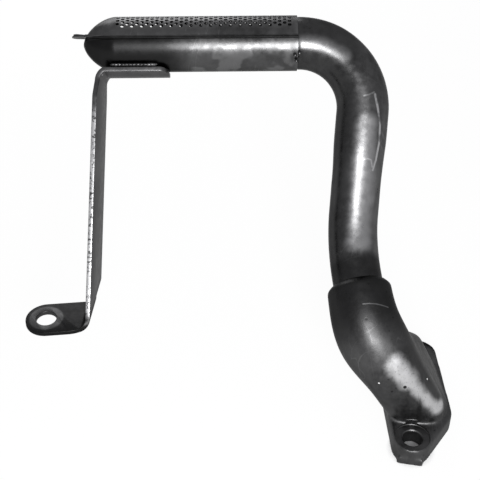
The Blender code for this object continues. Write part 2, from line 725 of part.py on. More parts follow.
def passage_cutter(cutters):
    """The cored passage along the elbow's centreline, from the socket past the outlet."""
    first = SOCKET_DEPTH / (4 * ELBOW_LEAD_IN)
    path = [elbow_point(first + (1 - first) * k / 14) for k in range(15)]
    path.append(Vector((0, 0, -3 * CAST_STOCK)))
    curve = path_curve("passage", path, OUTLET_RADIUS, HOLE_SIDES)
    curve.use_fill_caps = True
    return add_cutter("passage", mesh_from_curve("passage", curve, cutters), cutters)


def cut(target, cutter, operation="DIFFERENCE"):
    boolean = target.modifiers.new(cutter.name, "BOOLEAN")
    boolean.object = cutter
    boolean.operation = operation
    boolean.solver = "EXACT"


def flange_elbow(parts, cutters, mat):
    """The casting: flange and elbow blended as cast, then machined."""
    circles = [(0, -BOLT_SPACING / 2, EAR_RADIUS), (SHOULDER_OUT, -SHOULDER_ALONG, SHOULDER_RADIUS),
               (0, BOLT_SPACING / 2, EAR_RADIUS), (-SHOULDER_OUT, SHOULDER_ALONG, SHOULDER_RADIUS)]
    height = FLANGE_THICKNESS + CAST_STOCK
    plate = flat_curve("flange_elbow", [belt_outline(circles)], height / 2)
    mesh = mesh_from_curve("flange_elbow", plate, parts)
    mesh.transform(Matrix.Translation((0, 0, height / 2 - CAST_STOCK)))
    mesh.transform(FLANGE_FRAME)
    casting = add_object("flange_elbow", mesh, parts, mat)
    cut(casting, elbow_blank(cutters), "UNION")
    cut(casting, back_shoulder(cutters), "UNION")
    remesh = casting.modifiers.new("cast_skin", "REMESH")
    remesh.mode = "VOXEL"
    remesh.voxel_size = CAST_VOXEL
    remesh.use_smooth_shade = True
    relax = casting.modifiers.new("cast_fillets", "SMOOTH")
    relax.factor = 0.5
    relax.iterations = 6
    thin = casting.modifiers.new("fewer_facets", "DECIMATE")
    thin.ratio = CAST_KEEP

    tip = -BOLT_SPACING / 2 - EAR_RADIUS
    cut(casting, box_cutter("gate", Vector((-GATE_WIDTH / 2, tip - GATE_STAND, -CAST_STOCK / 2)),
                            Vector((GATE_WIDTH / 2, tip + EAR_RADIUS / 2, GATE_HEIGHT)), cutters), "UNION")
    half = BOLT_SPACING
    cut(casting, box_cutter("face_mill", Vector((-half, -half, -4 * CAST_STOCK)),
                            Vector((half, half, 0)), cutters))
    for name, side in (("near", -1), ("far", 1)):
        place = FLANGE_FRAME @ Vector((0, side * BOLT_SPACING / 2, 0))
        seat = place + Vector((0, 0, FLANGE_THICKNESS - SPOTFACE_DEPTH))
        clear = Vector((0, 0, BOLT_SPACING))
        cut(casting, round_cutter(name + "_spotface", SPOTFACE_RADIUS, seat, seat + clear, cutters))
        cut(casting, round_cutter(name + "_bolt_drill", BOLT_HOLE / 2, place - clear, place + clear,
                                  cutters))
    cut(casting, round_cutter("socket_bore", SOCKET_BORE_RADIUS,
                              MOUTH - SOCKET_DOWN_WORLD * SOCKET_DEPTH,
                              MOUTH + SOCKET_DOWN_WORLD * SOCKET_DEPTH, cutters, 32))
    cut(casting, passage_cutter(cutters))


def main():
    clear_scene()
    root = bpy.context.scene.collection
    parts = bpy.data.collections.new("oil_suction_pipe")
    cutters = bpy.data.collections.new("cutters")
    root.children.link(parts)
    root.children.link(cutters)

    steel = material("dark_steel", (0.10, 0.10, 0.105), 0.38, 0.85)
    sheet = material("dark_sheet_steel", (0.09, 0.09, 0.095), 0.4, 0.85)
    iron = material("cast_iron", (0.11, 0.11, 0.115), 0.45, 0.8)
    bead = material("weld_metal", (0.2, 0.2, 0.205), 0.35, 0.85)

    plane = add_object("pipe_plane", None, root)
    plane.location = KNEE_WORLD
    plane.rotation_euler = (-LEAN, 0, 0)
    head = add_object("head_frame", None, root, parent=plane)
    head.location = HEAD_CORNER
    head.rotation_euler = (0, -HEAD_TILT, 0)

    suction_tube(parts, steel, plane)
    half_shell("strainer_cover", True, parts, sheet, head)
    half_shell("strainer_shell", False, parts, sheet, head)
    support_bracket(parts, steel, head)
    weld_bead("arm_weld_front", -1, parts, bead, head)
    weld_bead("arm_weld_back", 1, parts, bead, head)
    for number, (along, angle) in enumerate(TACK_PLACES, 1):
        tack_weld(f"neck_tack_{number}", along, angle, parts, bead, head)
    flange_elbow(parts, cutters, iron)


main()
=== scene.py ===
"""The looks of the engine oil suction pipe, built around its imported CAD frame.

Every piece is remade finer than its CAD node, from the same dimensions, and stands in
its node's place. Metres, +Z up, the flange's mating face in z = 0.
"""

from math import asin, atan2, ceil, cos, hypot, pi, radians, sin, sqrt, tan

import bmesh
import bpy
from mathutils import Matrix, Vector, noise


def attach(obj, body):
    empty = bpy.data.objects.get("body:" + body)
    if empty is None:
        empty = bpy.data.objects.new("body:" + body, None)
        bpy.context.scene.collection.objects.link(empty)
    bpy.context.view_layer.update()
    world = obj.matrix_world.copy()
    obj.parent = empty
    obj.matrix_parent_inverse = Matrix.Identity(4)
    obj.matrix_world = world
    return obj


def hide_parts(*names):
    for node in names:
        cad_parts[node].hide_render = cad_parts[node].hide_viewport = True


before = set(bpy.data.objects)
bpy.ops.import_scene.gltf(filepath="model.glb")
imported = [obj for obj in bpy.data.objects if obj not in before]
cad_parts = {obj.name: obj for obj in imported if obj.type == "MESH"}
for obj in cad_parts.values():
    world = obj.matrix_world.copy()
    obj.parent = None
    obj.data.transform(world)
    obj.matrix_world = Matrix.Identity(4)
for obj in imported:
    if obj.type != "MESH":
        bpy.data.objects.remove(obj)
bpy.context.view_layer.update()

MM = 0.001


def places_in_mm(*places):
    return [Vector(place) * MM for place in places]


# The CAD's dimensions
GAP = 0.3 * MM
BOLT_SPACING = 64.0 * MM
BOLT_HOLE = 10.5 * MM
FLANGE_TURN = radians(-10.6)
FLANGE_THICKNESS = 10.0 * MM
EAR_RADIUS = 10.2 * MM
SHOULDER_RADIUS = 11.0 * MM
SHOULDER_OUT = 8.9 * MM
SHOULDER_ALONG = 11.2 * MM
SPOTFACE_RADIUS = 9.3 * MM
SPOTFACE_DEPTH = 1.0 * MM
GATE_WIDTH = 13.4 * MM
GATE_HEIGHT = 4.0 * MM
GATE_STAND = 0.2 * MM
MOUTH = Vector((-33.9 * MM, 20.5 * MM, 70.5 * MM))
SOCKET_TURN = radians(8.5)
SOCKET_NOD = radians(20.0)
SOCKET_RADIUS = 16.8 * MM
SOCKET_CHAMFER = 3.0 * MM
SOCKET_DEPTH = 16.0 * MM
ELBOW_LEAD_IN = 18.0 * MM
ELBOW_KNEE = Vector((-32.0 * MM, -10.7 * MM, 47.0 * MM))
ELBOW_LEAD_OUT = Vector((-5.4 * MM, 2.8 * MM, 28.0 * MM))
ELBOW_SWELL = 1.8 * MM
BACK_SHOULDER = Vector((-3.7 * MM, 16.8 * MM, 28.0 * MM))
BACK_SHOULDER_RADIUS = 8.3 * MM
BACK_FOOT = Vector((7.0 * MM, 17.0 * MM, 9.0 * MM))
BACK_FOOT_RADIUS = 7.0 * MM
RIDGE_FOOT = Vector((9.5 * MM, -8.0 * MM, 7.0 * MM))
RIDGE_FOOT_RADIUS = 7.5 * MM
BACK_ROOT_SHARE = 0.6
FOOTPRINT_INSET = 0.8 * MM
FOOTPRINT_END_ALONG = 13.0 * MM
FOOTPRINT_END_OUT = 1.0 * MM
FOOTPRINT_END_RADIUS = 9.5 * MM
OUTLET_RADIUS = 12.0 * MM
CAST_STOCK = 2.0 * MM
LEAN = radians(38.0)
TUBE_RADIUS = 14.0 * MM
TUBE_WALL = 1.5 * MM
TUBE_SWAGED_RADIUS = 13.2 * MM
SWAGE_START = 58.0 * MM
SWAGE_END = 34.0 * MM
TUBE_SPIGOT_RADIUS = 13.7 * MM
TUBE_DROP_TURN = radians(5.1)
TUBE_BEND_RADIUS = 34.0 * MM
TUBE_LOW_BEND_RADIUS = 90.0 * MM
KNEE_TO_MOUTH = 22.1 * MM
TUBE_IN_HEAD = 12.0 * MM
HEAD_HEIGHT = 107.8 * MM
HEAD_TILT = radians(0.5)
NECK_X = -38.4 * MM
HEAD_LENGTH = 113.6 * MM
SHEET = 0.6 * MM
NOSE_LENGTH = 17.6 * MM
NOSE_POWER = 1.65
NOSE_X = NECK_X - HEAD_LENGTH + NOSE_LENGTH
SEAM_HEIGHT = 1.0 * MM
SEAM_RISE = 3.6 * MM
RIM_WIDTH = 1.2 * MM
TONGUE_LENGTH = 6.0 * MM
TONGUE_WIDTH = 6.0 * MM
BAR_THICKNESS = 2.5 * MM
BAR_WIDTH = 26.0 * MM
BAR_OFFSET = -2.0 * MM
ARM_LENGTH = 36.4 * MM
ARM_WIDTH = 20.0 * MM
ARM_TAPER = 5.0 * MM
ARM_CORNER_RADIUS = 5.5 * MM
SADDLE_RADIUS = 32.0 * MM
STRAP_TOP_X = -142.8 * MM
STRAP_TILT = radians(2.3)
BAR_ROLL = radians(4.1)
FOLD_RADIUS = 3.8 * MM
FOOT_HEIGHT = 55.5 * MM
FOOT_HOLE_PLACE = Vector((-197.4 * MM, 7.5 * MM))
FOOT_TURN = radians(6.0)
FOOT_WIDTH = 22.4 * MM
FOOT_END = 10.8 * MM
FOOT_CORNER_RADIUS = 11.0 * MM
FOOT_KNEE_RADIUS = 17.0 * MM
FOOT_HOLE = 10.5 * MM
BEAD_RADIUS = 0.95 * MM
BEAD_SIDE = 10.2 * MM
BEAD_DROP = 12.35 * MM
BEAD_FROM_STRAP = 6.0 * MM
BEAD_FROM_END = 5.5 * MM
TACK_RADIUS = 1.0 * MM
TACK_PLACES = ((0.7 * MM, radians(29.5)), (-1.6 * MM, radians(34.0)), (-0.9 * MM, radians(45.5)))

# Finer detail than the CAD's
PERF_HOLE = 2.0 * MM
PERF_PITCH = 2.9 * MM
PERF_HALF_ANGLE = radians(68.0)
PERF_FROM_NOSE = 0.5 * MM
PERF_FROM_NECK = 3.0 * MM
TUBE_SIDES = 72
SHELL_SIDES = 96
BAR_EDGE = 0.35 * MM
CAST_VOXEL = 0.75 * MM
HOLE_CHAMFER = 0.5 * MM
TUBE_INSET = 0.05 * MM
TUBE_LUMPS = 0.10 * MM
TUBE_LUMP_SIZE = 14.0 * MM
WELD = 0.01 * MM
WELD_EDGE = radians(70.0)

# Wear and painted highlights, at the places where the photo shows them
TUBE_PAINTED_HIGHLIGHT = places_in_mm((-34.0, 30.0, 92.5), (-29.5, 66.5, 139.5))
BEND_PAINTED_HIGHLIGHT = places_in_mm((-63.3, 93.4, 174.0), (-51.8, 92.4, 172.8), (-40.9, 88.8, 168.3))
TUBE_SCRATCH = places_in_mm((-25.7, 77.3, 151.8), (-24.1, 73.3, 145.8), (-22.8, 69.0, 138.1),
                            (-23.3, 63.6, 130.4), (-24.9, 57.9, 123.6), (-26.6, 54.1, 119.8))
TUBE_HOOKS = (places_in_mm((-31.6, 75.9, 151.7), (-28.9, 76.4, 152.1), (-26.2, 77.8, 152.7)),
              places_in_mm((-31.5, 55.9, 125.2), (-29.4, 56.4, 125.5), (-27.7, 56.6, 124.5),
                           (-26.9, 54.8, 121.2)))
RIDGE_PAINTED_HIGHLIGHT = places_in_mm((-17.0, -19.0, 50.5), (-9.8, -21.4, 41.0), (7.0, -20.5, 19.1),
                         (10.5, -17.5, 19.0))
CAST_SCRATCH = places_in_mm((-33.8, -1.2, 75.6), (-30.8, -1.0, 75.8), (-27.1, -0.7, 75.2),
                            (-24.0, -0.4, 74.0), (-20.7, 0.3, 72.0))
CAST_CHIPS = places_in_mm((-24.8, -21.3, 39.5), (0.8, -16.1, 37.0))
CAST_PIT = Vector((-11.5, -22.5, 37.7)) * MM

PLANE_TURN = Matrix.Rotation(-LEAN, 3, "X")
HEAD_TURN = PLANE_TURN @ Matrix.Rotation(-HEAD_TILT, 3, "Y")
SOCKET_DOWN = Vector((sin(SOCKET_TURN) * cos(SOCKET_NOD), -sin(SOCKET_NOD),
                      -cos(SOCKET_TURN) * cos(SOCKET_NOD)))
SOCKET_DOWN_WORLD = PLANE_TURN @ SOCKET_DOWN
KNEE_WORLD = MOUTH - SOCKET_DOWN_WORLD * KNEE_TO_MOUTH
HEAD_CORNER = Vector((HEAD_HEIGHT * tan(TUBE_DROP_TURN), 0.0, HEAD_HEIGHT))
HEAD_CORNER_WORLD = KNEE_WORLD + PLANE_TURN @ HEAD_CORNER
HEAD_AXIS = Vector((cos(HEAD_TILT), 0.0, sin(HEAD_TILT)))
HEAD_RADIUS = TUBE_SPIGOT_RADIUS + GAP + SHEET
SOCKET_BORE_RADIUS = TUBE_SWAGED_RADIUS + GAP
FLANGE_FRAME = Matrix.Rotation(FLANGE_TURN, 4, "Z")
PLANE_FRAME = Matrix.Translation(KNEE_WORLD) @ PLANE_TURN.to_4x4()
HEAD_FRAME = Matrix.Translation(HEAD_CORNER_WORLD) @ HEAD_TURN.to_4x4()


# Small tools

def smoothstep(value):
    value = min(1.0, max(0.0, value))
    return value * value * (3.0 - 2.0 * value)


def link(name, data):
    made = bpy.data.objects.new(name, data)
    bpy.context.scene.collection.objects.link(made)
    return made


def mesh_from_bmesh(name, bm):
    mesh = bpy.data.meshes.new(name)
    bm.to_mesh(mesh)
    bm.free()
    return mesh


def skinned(name, bm, rings, looped=False):
    """A mesh skinned over rings, either capped at both ends or looped back to the first."""
    for one, two in zip(rings, rings[1:] + rings[:1] if looped else rings[1:]):
        for k in range(len(one)):
            bm.faces.new((one[k - 1], one[k], two[k], two[k - 1]))
    if not looped:
        bm.faces.new(rings[0])
        bm.faces.new(rings[-1])
    bmesh.ops.recalc_face_normals(bm, faces=bm.faces)
    return mesh_from_bmesh(name, bm)


def cut_through(bm, faces, place, normal):
    """Cut some of the faces along a plane."""
    geom = faces + list(dict.fromkeys(edge for face in faces for edge in face.edges))
    geom += list(dict.fromkeys(vert for face in faces for vert in face.verts))
    bmesh.ops.bisect_plane(bm, geom=geom, dist=1e-6, plane_co=place, plane_no=normal)


def applied(obj, name, weld=0.0):
    """The mesh of an object with its modifiers applied. The object goes."""
    bpy.context.view_layer.update()
    graph = bpy.context.evaluated_depsgraph_get()
    mesh = bpy.data.meshes.new_from_object(obj.evaluated_get(graph))
    mesh.name = name
    bpy.data.objects.remove(obj, do_unlink=True)
    if weld:
        bm = bmesh.new()
        bm.from_mesh(mesh)
        bmesh.ops.remove_doubles(bm, verts=bm.verts, dist=weld)
        bm.to_mesh(mesh)
        bm.free()
    return mesh


def piece(name, mesh, place, mat, node, angle=radians(35.0)):
    """A finished piece at the origin, its place in its mesh, instead of its CAD node."""
    mesh.transform(place)
    mesh.materials.clear()
    mesh.materials.append(mat)
    mesh.shade_smooth()
    mesh.set_sharp_from_angle(angle=angle)
    made = link(name, mesh)
    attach(made, "root")
    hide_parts(node)


def path_curve(name, path, radius, sides):
    """A closed round bar along a path."""
    curve = bpy.data.curves.new(name, "CURVE")
    curve.dimensions = "3D"
    curve.bevel_depth = radius
    curve.bevel_resolution = (sides - 4) // 2
    curve.use_fill_caps = True
    spline = curve.splines.new("POLY")
    spline.points.add(len(path) - 1)
    for point, place in zip(spline.points, path):
        point.co = (*place, 1.0)
    return curve


def flat_curve(name, outlines, half_depth=0.0, edge=0.0):
    """A flat filled curve, extruded to both sides, with its edges rounded off."""
    curve = bpy.data.curves.new(name, "CURVE")
    curve.dimensions = "2D"
    curve.fill_mode = "BOTH"
    curve.extrude = half_depth - edge
    if edge:
        curve.bevel_depth = edge
        curve.bevel_resolution = 2
        curve.offset = -edge
    for outline in outlines:
        spline = curve.splines.new("POLY")
        spline.points.add(len(outline) - 1)
        for point, (x, y) in zip(spline.points, outline):
            point.co = (x, y, 0.0, 1.0)
        spline.use_cyclic_u = True
    return curve


def circle_outline(x, y, radius, sides=48):
    return [(x + radius * cos(2 * pi * k / sides), y + radius * sin(2 * pi * k / sides))
            for k in range(sides)]


def belt_outline(circles, step=radians(5.0)):
    """The outline that a belt takes round circles given as (x, y, radius), in turn."""
    count = len(circles)
    normals = []
    for index in range(count):
        x0, y0, r0 = circles[index]
        x1, y1, r1 = circles[(index + 1) % count]
        run = hypot(x1 - x0, y1 - y0)
        normals.append(atan2(y1 - y0, x1 - x0) - pi / 2 + asin((r0 - r1) / run))
    points = []
    for index, (x, y, radius) in enumerate(circles):
        start, end = normals[index - 1], normals[index]
        while end < start:
            end += 2 * pi
        steps = max(1, ceil((end - start) / step))
        for k in range(steps + 1):
            angle = start + (end - start) * k / steps
            points.append((x + radius * cos(angle), y + radius * sin(angle)))
    return points


def reach_of_outline(outline, angle):
    """How far an outline round the origin lies from it in one direction."""
    dx, dy = cos(angle), sin(angle)
    furthest = 0.0
    for (ax, ay), (bx, by) in zip(outline, outline[1:] + outline[:1]):
        ex, ey = bx - ax, by - ay
        slant = dx * ey - dy * ex
        if abs(slant) < 1e-12:
            continue
        out = (ax * ey - ay * ex) / slant
        share = (ax * dy - ay * dx) / slant
        if -1e-6 <= share <= 1 + 1e-6:
            furthest = max(furthest, out)
    return furthest


def fillet(before, corner, after, radius):
    """The arc that rounds a corner: its two ways, its centre, its first spoke and its turn."""
    back, ahead = (before - corner).normalized(), (after - corner).normalized()
    opening = back.angle(ahead)
    centre = corner + (back + ahead).normalized() * (radius / sin(opening / 2))
    return back, ahead, centre, corner + back * (radius / tan(opening / 2)) - centre, pi - opening


def rounded_outline(corners, step=radians(6.0)):
    """A closed outline with each corner (x, y, radius) turned as an arc."""
    places = [Vector(corner[:2]) for corner in corners]
    points = []
    for place, before, after, (_, _, radius) in zip(places, places[-1:] + places[:-1],
                                                    places[1:] + places[:1], corners):
        back, ahead, centre, spoke, turn = fillet(before, place, after, radius)
        if back.cross(ahead) > 0:
            turn = -turn
        steps = max(1, ceil(abs(turn) / step))
        for k in range(steps + 1):
            points.append(tuple(centre + Matrix.Rotation(turn * k / steps, 2) @ spoke))
    return points


def filleted_path(corners, radii, step):
    """Points along a path whose inner corners are arcs of the given radii."""
    points = [corners[0]]
    for before, corner, after, radius in zip(corners, corners[1:], corners[2:], radii):
        back, ahead, centre, spoke, turn = fillet(before, corner, after, radius)
        steps = ceil(turn / step)
        for k in range(steps + 1):
            swing = Matrix.Rotation(turn * k / steps, 3, (-back).cross(ahead))
            points.append(centre + swing @ spoke)
    points.append(corners[-1])
    return points


def ripple(place, size, depth):
    """Uneven surface depth at a place: smooth noise with features of one size."""
    return depth * noise.noise(Vector(place) / size)


# Shader groups: each gives colours, masks, values or normals only

class Tree:
    """Short ways to add and join shader nodes in one tree."""

    def __init__(self, tree):
        self.nodes, self.links = tree.nodes, tree.links

    def put(self, socket, value):
        if isinstance(value, bpy.types.NodeSocket):
            self.links.new(value, socket)
        elif value is not None:
            socket.default_value = value

    def node(self, kind, **values):
        """A new node, with values or links put into its inputs by name."""
        made = self.nodes.new(kind)
        for label, value in values.items():
            self.put(made.inputs[label.replace("_", " ")], value)
        return made

    def noise(self, vector, scale, detail=4.0, rough=0.55, distort=0.0, output="Fac"):
        return self.node("ShaderNodeTexNoise", Vector=vector, Scale=scale, Detail=detail,
                         Roughness=rough, Distortion=distort).outputs[output]

    def spots(self, vector, scale):
        return self.node("ShaderNodeTexVoronoi", Vector=vector, Scale=scale).outputs["Distance"]

    def ramp(self, value, low, high, start=0.0, end=1.0):
        node = self.node("ShaderNodeMapRange", Value=value, From_Min=low, From_Max=high,
                         To_Min=start, To_Max=end)
        node.interpolation_type = "SMOOTHSTEP"
        return node.outputs["Result"]

    def math(self, kind, one, two=None):
        node = self.nodes.new("ShaderNodeMath")
        node.operation = kind
        self.put(node.inputs[0], one)
        self.put(node.inputs[1], two)
        return node.outputs["Value"]

    def times(self, one, two):
        return self.math("MULTIPLY", one, two)

    def vector(self, kind, one, two):
        node = self.nodes.new("ShaderNodeVectorMath")
        node.operation = kind
        self.put(node.inputs[0], one)
        self.put(node.inputs["Scale" if kind == "SCALE" else 1], two)
        return node.outputs["Value" if kind in ("DOT_PRODUCT", "DISTANCE") else "Vector"]

    def mix(self, fac, one, two):
        node = self.nodes.new("ShaderNodeMix")
        node.data_type = "RGBA"
        self.put(node.inputs["Factor"], fac)
        self.put(node.inputs[6], one)
        self.put(node.inputs[7], two)
        return node.outputs[2]

    def bump(self, height, strength, distance):
        node = self.node("ShaderNodeBump", Height=height, Strength=strength, Distance=distance)
        return node.outputs["Normal"]

    def group(self, group, **values):
        node = self.nodes.new("ShaderNodeGroup")
        node.node_tree = group
        for label, value in values.items():
            self.put(node.inputs[label], value)
        return node.outputs

    def places(self):
        return self.nodes.new("ShaderNodeTexCoord").outputs["Object"]

    def near(self, point, radius, soft):
        """A mask that is 1 within a radius of a point and fades out past it."""
        away = self.vector("DISTANCE", self.places(), tuple(point))
        return self.ramp(away, radius, radius + soft, 1.0, 0.0)

    def band(self, value, low, high, soft):
        """A mask that is 1 while a value lies between two limits."""
        rise = self.ramp(value, low - soft, low)
        fall = self.ramp(value, high, high + soft, 1.0, 0.0)
        return self.times(rise, fall)

    def along(self, start, way):
        """How far the shaded place lies from a start, measured along a way."""
        return self.vector("DOT_PRODUCT", self.vector("SUBTRACT", self.places(), tuple(start)),
                           tuple(way))

    def uneven(self, value, size, depth):
        """A distance that wanders with smooth noise, so that a mask's border isn't straight."""
        drift = self.math("SUBTRACT", self.noise(self.places(), 1.0 / size, 3.0), 0.5)
        return self.math("ADD", value, self.times(drift, 2 * depth))

    def line_mask(self, start, end, wide, soft, size, depth):
        """A mask along the straight line between two places, with an uneven border."""
        way = (end - start).normalized()
        run = self.math("MAXIMUM", self.along(start, way), 0.0)
        nearest = self.vector("SCALE", way, self.math("MINIMUM", run, (end - start).length))
        away = self.vector("DISTANCE", self.vector("SUBTRACT", self.places(), tuple(start)),
                           nearest)
        return self.ramp(self.uneven(away, size, depth), wide, wide + soft, 1.0, 0.0)

    def path_mask(self, places, *border):
        """A mask along straight lines that join places in turn."""
        mask = self.line_mask(*places[:2], *border)
        for one, two in zip(places[1:], places[2:]):
            mask = self.math("MAXIMUM", mask, self.line_mask(one, two, *border))
        return mask


def new_group(name, values, outputs):
    """A shader group that takes a place and named values and puts out named masks."""
    group = bpy.data.node_groups.new(name, "ShaderNodeTree")
    group.interface.new_socket("Vector", in_out="INPUT", socket_type="NodeSocketVector")
    for label, value in values.items():
        socket = group.interface.new_socket(label, in_out="INPUT", socket_type="NodeSocketFloat")
        socket.default_value = value
    for label in outputs:
        group.interface.new_socket(label, in_out="OUTPUT", socket_type="NodeSocketFloat")
    start = group.nodes.new("NodeGroupInput").outputs
    end = group.nodes.new("NodeGroupOutput").inputs
    return group, Tree(group), start, end


def grime_group():
    """Oil film and handling: broad dark patches, finer mottling and thin streaks."""
    group, tree, start, end = new_group("grime", {"Patch": 30.0, "Fine": 260.0},
                                        ("Patches", "Mottle", "Streaks"))
    broad = tree.noise(start["Vector"], start["Patch"], 3.0, 0.5, 0.6)
    tree.links.new(tree.ramp(broad, 0.38, 0.66), end["Patches"])
    fine = tree.noise(start["Vector"], start["Fine"], 5.0, 0.62)
    tree.links.new(tree.ramp(fine, 0.3, 0.72), end["Mottle"])
    drawn = tree.vector("MULTIPLY", start["Vector"], (1.0, 0.16, 0.16))
    lines = tree.noise(drawn, 900.0, 3.0, 0.6, 0.4)
    tree.links.new(tree.ramp(lines, 0.60, 0.74), end["Streaks"])
    return group


def scratch_group():
    """Thin bright scratches that cross at two slants, broken up by a patchy mask."""
    group, tree, start, end = new_group("scratches", {"Scale": 60.0}, ("Mask",))
    masks = []
    for slant in ((1.0, 0.07, 0.3), (0.12, 1.0, 0.05)):
        drawn = tree.vector("MULTIPLY", start["Vector"], slant)
        wave = tree.noise(drawn, start["Scale"], 2.0, 0.5, 1.2)
        line = tree.math("ABSOLUTE", tree.math("SUBTRACT", wave, 0.5))
        masks.append(tree.ramp(line, 0.0015, 0.006, 1.0, 0.0))
    both = tree.math("MAXIMUM", *masks)
    broken = tree.ramp(tree.noise(start["Vector"], 55.0, 2.0), 0.50, 0.62)
    tree.links.new(tree.times(both, broken), end["Mask"])
    return group


def pit_group():
    """Scattered small pits: a mask of their floors and a height that dips in them."""
    group, tree, start, end = new_group("pits", {"Scale": 300.0, "Share": 0.5},
                                        ("Mask", "Height"))
    drift = tree.noise(start["Vector"], 500.0, 2.0, 0.5, output="Color")
    warp = tree.vector("MULTIPLY", drift, (0.8 * MM, 0.8 * MM, 0.8 * MM))
    away = tree.spots(tree.vector("ADD", start["Vector"], warp), start["Scale"])
    rare = tree.ramp(tree.noise(start["Vector"], 90.0, 2.0), start["Share"],
                     tree.math("ADD", start["Share"], 0.12))
    mask = tree.times(tree.ramp(away, 0.10, 0.26, 1.0, 0.0), rare)
    tree.links.new(mask, end["Mask"])
    tree.links.new(tree.math("SUBTRACT", 1.0, mask), end["Height"])
    return group


def wear_group():
    """Bright worn edges, from how sharply the surface turns there."""
    group, tree, start, end = new_group("edge_wear", {"Low": 0.53, "High": 0.6}, ("Mask",))
    sharp = tree.node("ShaderNodeNewGeometry").outputs["Pointiness"]
    broken = tree.times(tree.noise(start["Vector"], 420.0, 4.0, 0.6), 0.05)
    edge = tree.ramp(tree.math("ADD", sharp, tree.math("SUBTRACT", broken, 0.025)),
                     start["Low"], start["High"])
    tree.links.new(edge, end["Mask"])
    return group


GRIME, SCRATCHES, PITS, WEAR = grime_group(), scratch_group(), pit_group(), wear_group()


def grey(value):
    return (value, value, value * 1.015, 1.0)


class Metal(Tree):
    """A greasy bare metal, whose colour takes one layer after another of wear, grime, painted shade
    and painted highlights.
    """

    def __init__(self, name, dark, mid, light, roughness, pits=0.62, bump=0.12, pit_scale=420.0,
                 edges=0.3):
        self.made = bpy.data.materials.new(name)
        self.made.use_nodes = True
        super().__init__(self.made.node_tree)
        self.sockets = self.nodes["Principled BSDF"].inputs
        place = self.places()
        grime = self.group(GRIME, Vector=place)
        pit = self.group(PITS, Vector=place, Scale=pit_scale, Share=pits)
        self.colour = self.mix(grime["Patches"], grey(dark), grey(mid))
        self.lay(grime["Mottle"], 0.25, light)
        self.lay(grime["Streaks"], 0.12, light)
        self.lay(pit["Mask"], 0.75, 0.01)
        self.lay(self.group(SCRATCHES, Vector=place)["Mask"], 0.08, 0.5)
        self.lay(self.group(WEAR, Vector=place)["Mask"], edges, 0.5)
        rough = self.ramp(grime["Mottle"], 0.0, 1.0, roughness - 0.04, roughness + 0.06)
        rough = self.math("ADD", rough, self.times(grime["Patches"], 0.04))
        height = self.math("ADD", self.times(grime["Mottle"], 0.5), self.times(pit["Height"], 1.5))
        self.put(self.sockets["Roughness"], rough)
        self.put(self.sockets["Normal"], self.bump(height, bump, 0.4 * MM))
        self.put(self.sockets["Metallic"], 1.0)
        self.put(self.sockets["Specular Tint"], (0.5, 0.5, 0.5, 1.0))

    def lay(self, mask, amount, shade):
        """Lay a grey over the colour where a mask is up."""
        self.colour = self.mix(self.times(mask, amount), self.colour, grey(shade))
        self.put(self.sockets["Base Color"], self.colour)


def tube_material():
    steel = Metal("tube_steel", 0.06, 0.11, 0.18, 0.30, bump=0.05)
    # Painted highlight: a broad bright stripe down the tube's drop.
    steel.lay(steel.path_mask(TUBE_PAINTED_HIGHLIGHT, 3.0 * MM, 6.0 * MM, 16 * MM, 3 * MM), 0.7, 0.42)
    # Painted highlight: a bright line along the tube's upper bend.
    steel.lay(steel.path_mask(BEND_PAINTED_HIGHLIGHT, 0.8 * MM, 4.5 * MM, 12 * MM, 1.5 * MM), 0.65, 0.5)
    scratch = steel.path_mask(TUBE_SCRATCH, 0.25 * MM, 0.7 * MM, 12 * MM, 0.3 * MM)
    for hook in TUBE_HOOKS:
        scratch = steel.math("MAXIMUM", scratch, steel.path_mask(
            hook, 0.15 * MM, 0.5 * MM, 9 * MM, 0.1 * MM))
    broken = steel.ramp(steel.noise(steel.places(), 160.0, 3.0), 0.38, 0.55, 0.25, 1.0)
    steel.lay(steel.times(scratch, broken), 0.8, 0.6)
    # Painted shade: the tube darker along its left side.
    side = steel.along(KNEE_WORLD, PLANE_TURN @ Vector((1, 0, -sin(TUBE_DROP_TURN))))
    steel.lay(steel.ramp(side, -10.0 * MM, -2.0 * MM, 1.0, 0.0), 0.55, 0.02)
    # Painted shadow: a dark band round the tube just above the socket.
    down = steel.uneven(steel.along(MOUTH, SOCKET_DOWN_WORLD), 9 * MM, 1.5 * MM)
    steel.lay(steel.band(down, -9.0 * MM, 2.0 * MM, 6.0 * MM), 0.75, 0.02)
    return steel.made


def sheet_material():
    steel = Metal("sheet_steel", 0.05, 0.09, 0.14, 0.30, bump=0.05, edges=0.08)
    run = steel.along(HEAD_CORNER_WORLD, HEAD_TURN @ Vector((1, 0, 0)))
    rise = steel.along(HEAD_CORNER_WORLD, HEAD_TURN @ Vector((0, 0, 1)))
    # Painted shade: the lower half of the head dark towards its nose end.
    below = steel.ramp(rise, 0.0, 1.0 * MM, 1.0, 0.0)
    nose_end_shade = steel.ramp(steel.uneven(run, 24 * MM, 12 * MM), -112.0 * MM, -82.0 * MM, 1.0, 0.0)
    steel.lay(steel.times(below, nose_end_shade), 0.9, 0.012)
    # Painted sheen: noisy lighter patches on the lower half of the head towards the neck.
    painted_sheen = steel.ramp(steel.noise(steel.places(), 75.0, 2.0), 0.47, 0.56)
    painted_sheen = steel.times(painted_sheen, steel.band(run, -92.0 * MM, -42.0 * MM, 4.0 * MM))
    painted_sheen = steel.times(painted_sheen, steel.ramp(rise, -5 * MM, -3 * MM, 1.0, 0.0))
    steel.lay(painted_sheen, 0.4, 0.22)
    # Painted shadow: a dark band along the seam under the rim.
    over_seam = steel.math("SUBTRACT", rise, SEAM_HEIGHT)
    steel.lay(steel.band(over_seam, -0.9 * MM, 0.9 * MM, 0.3 * MM), 0.8, 0.015)
    return steel.made


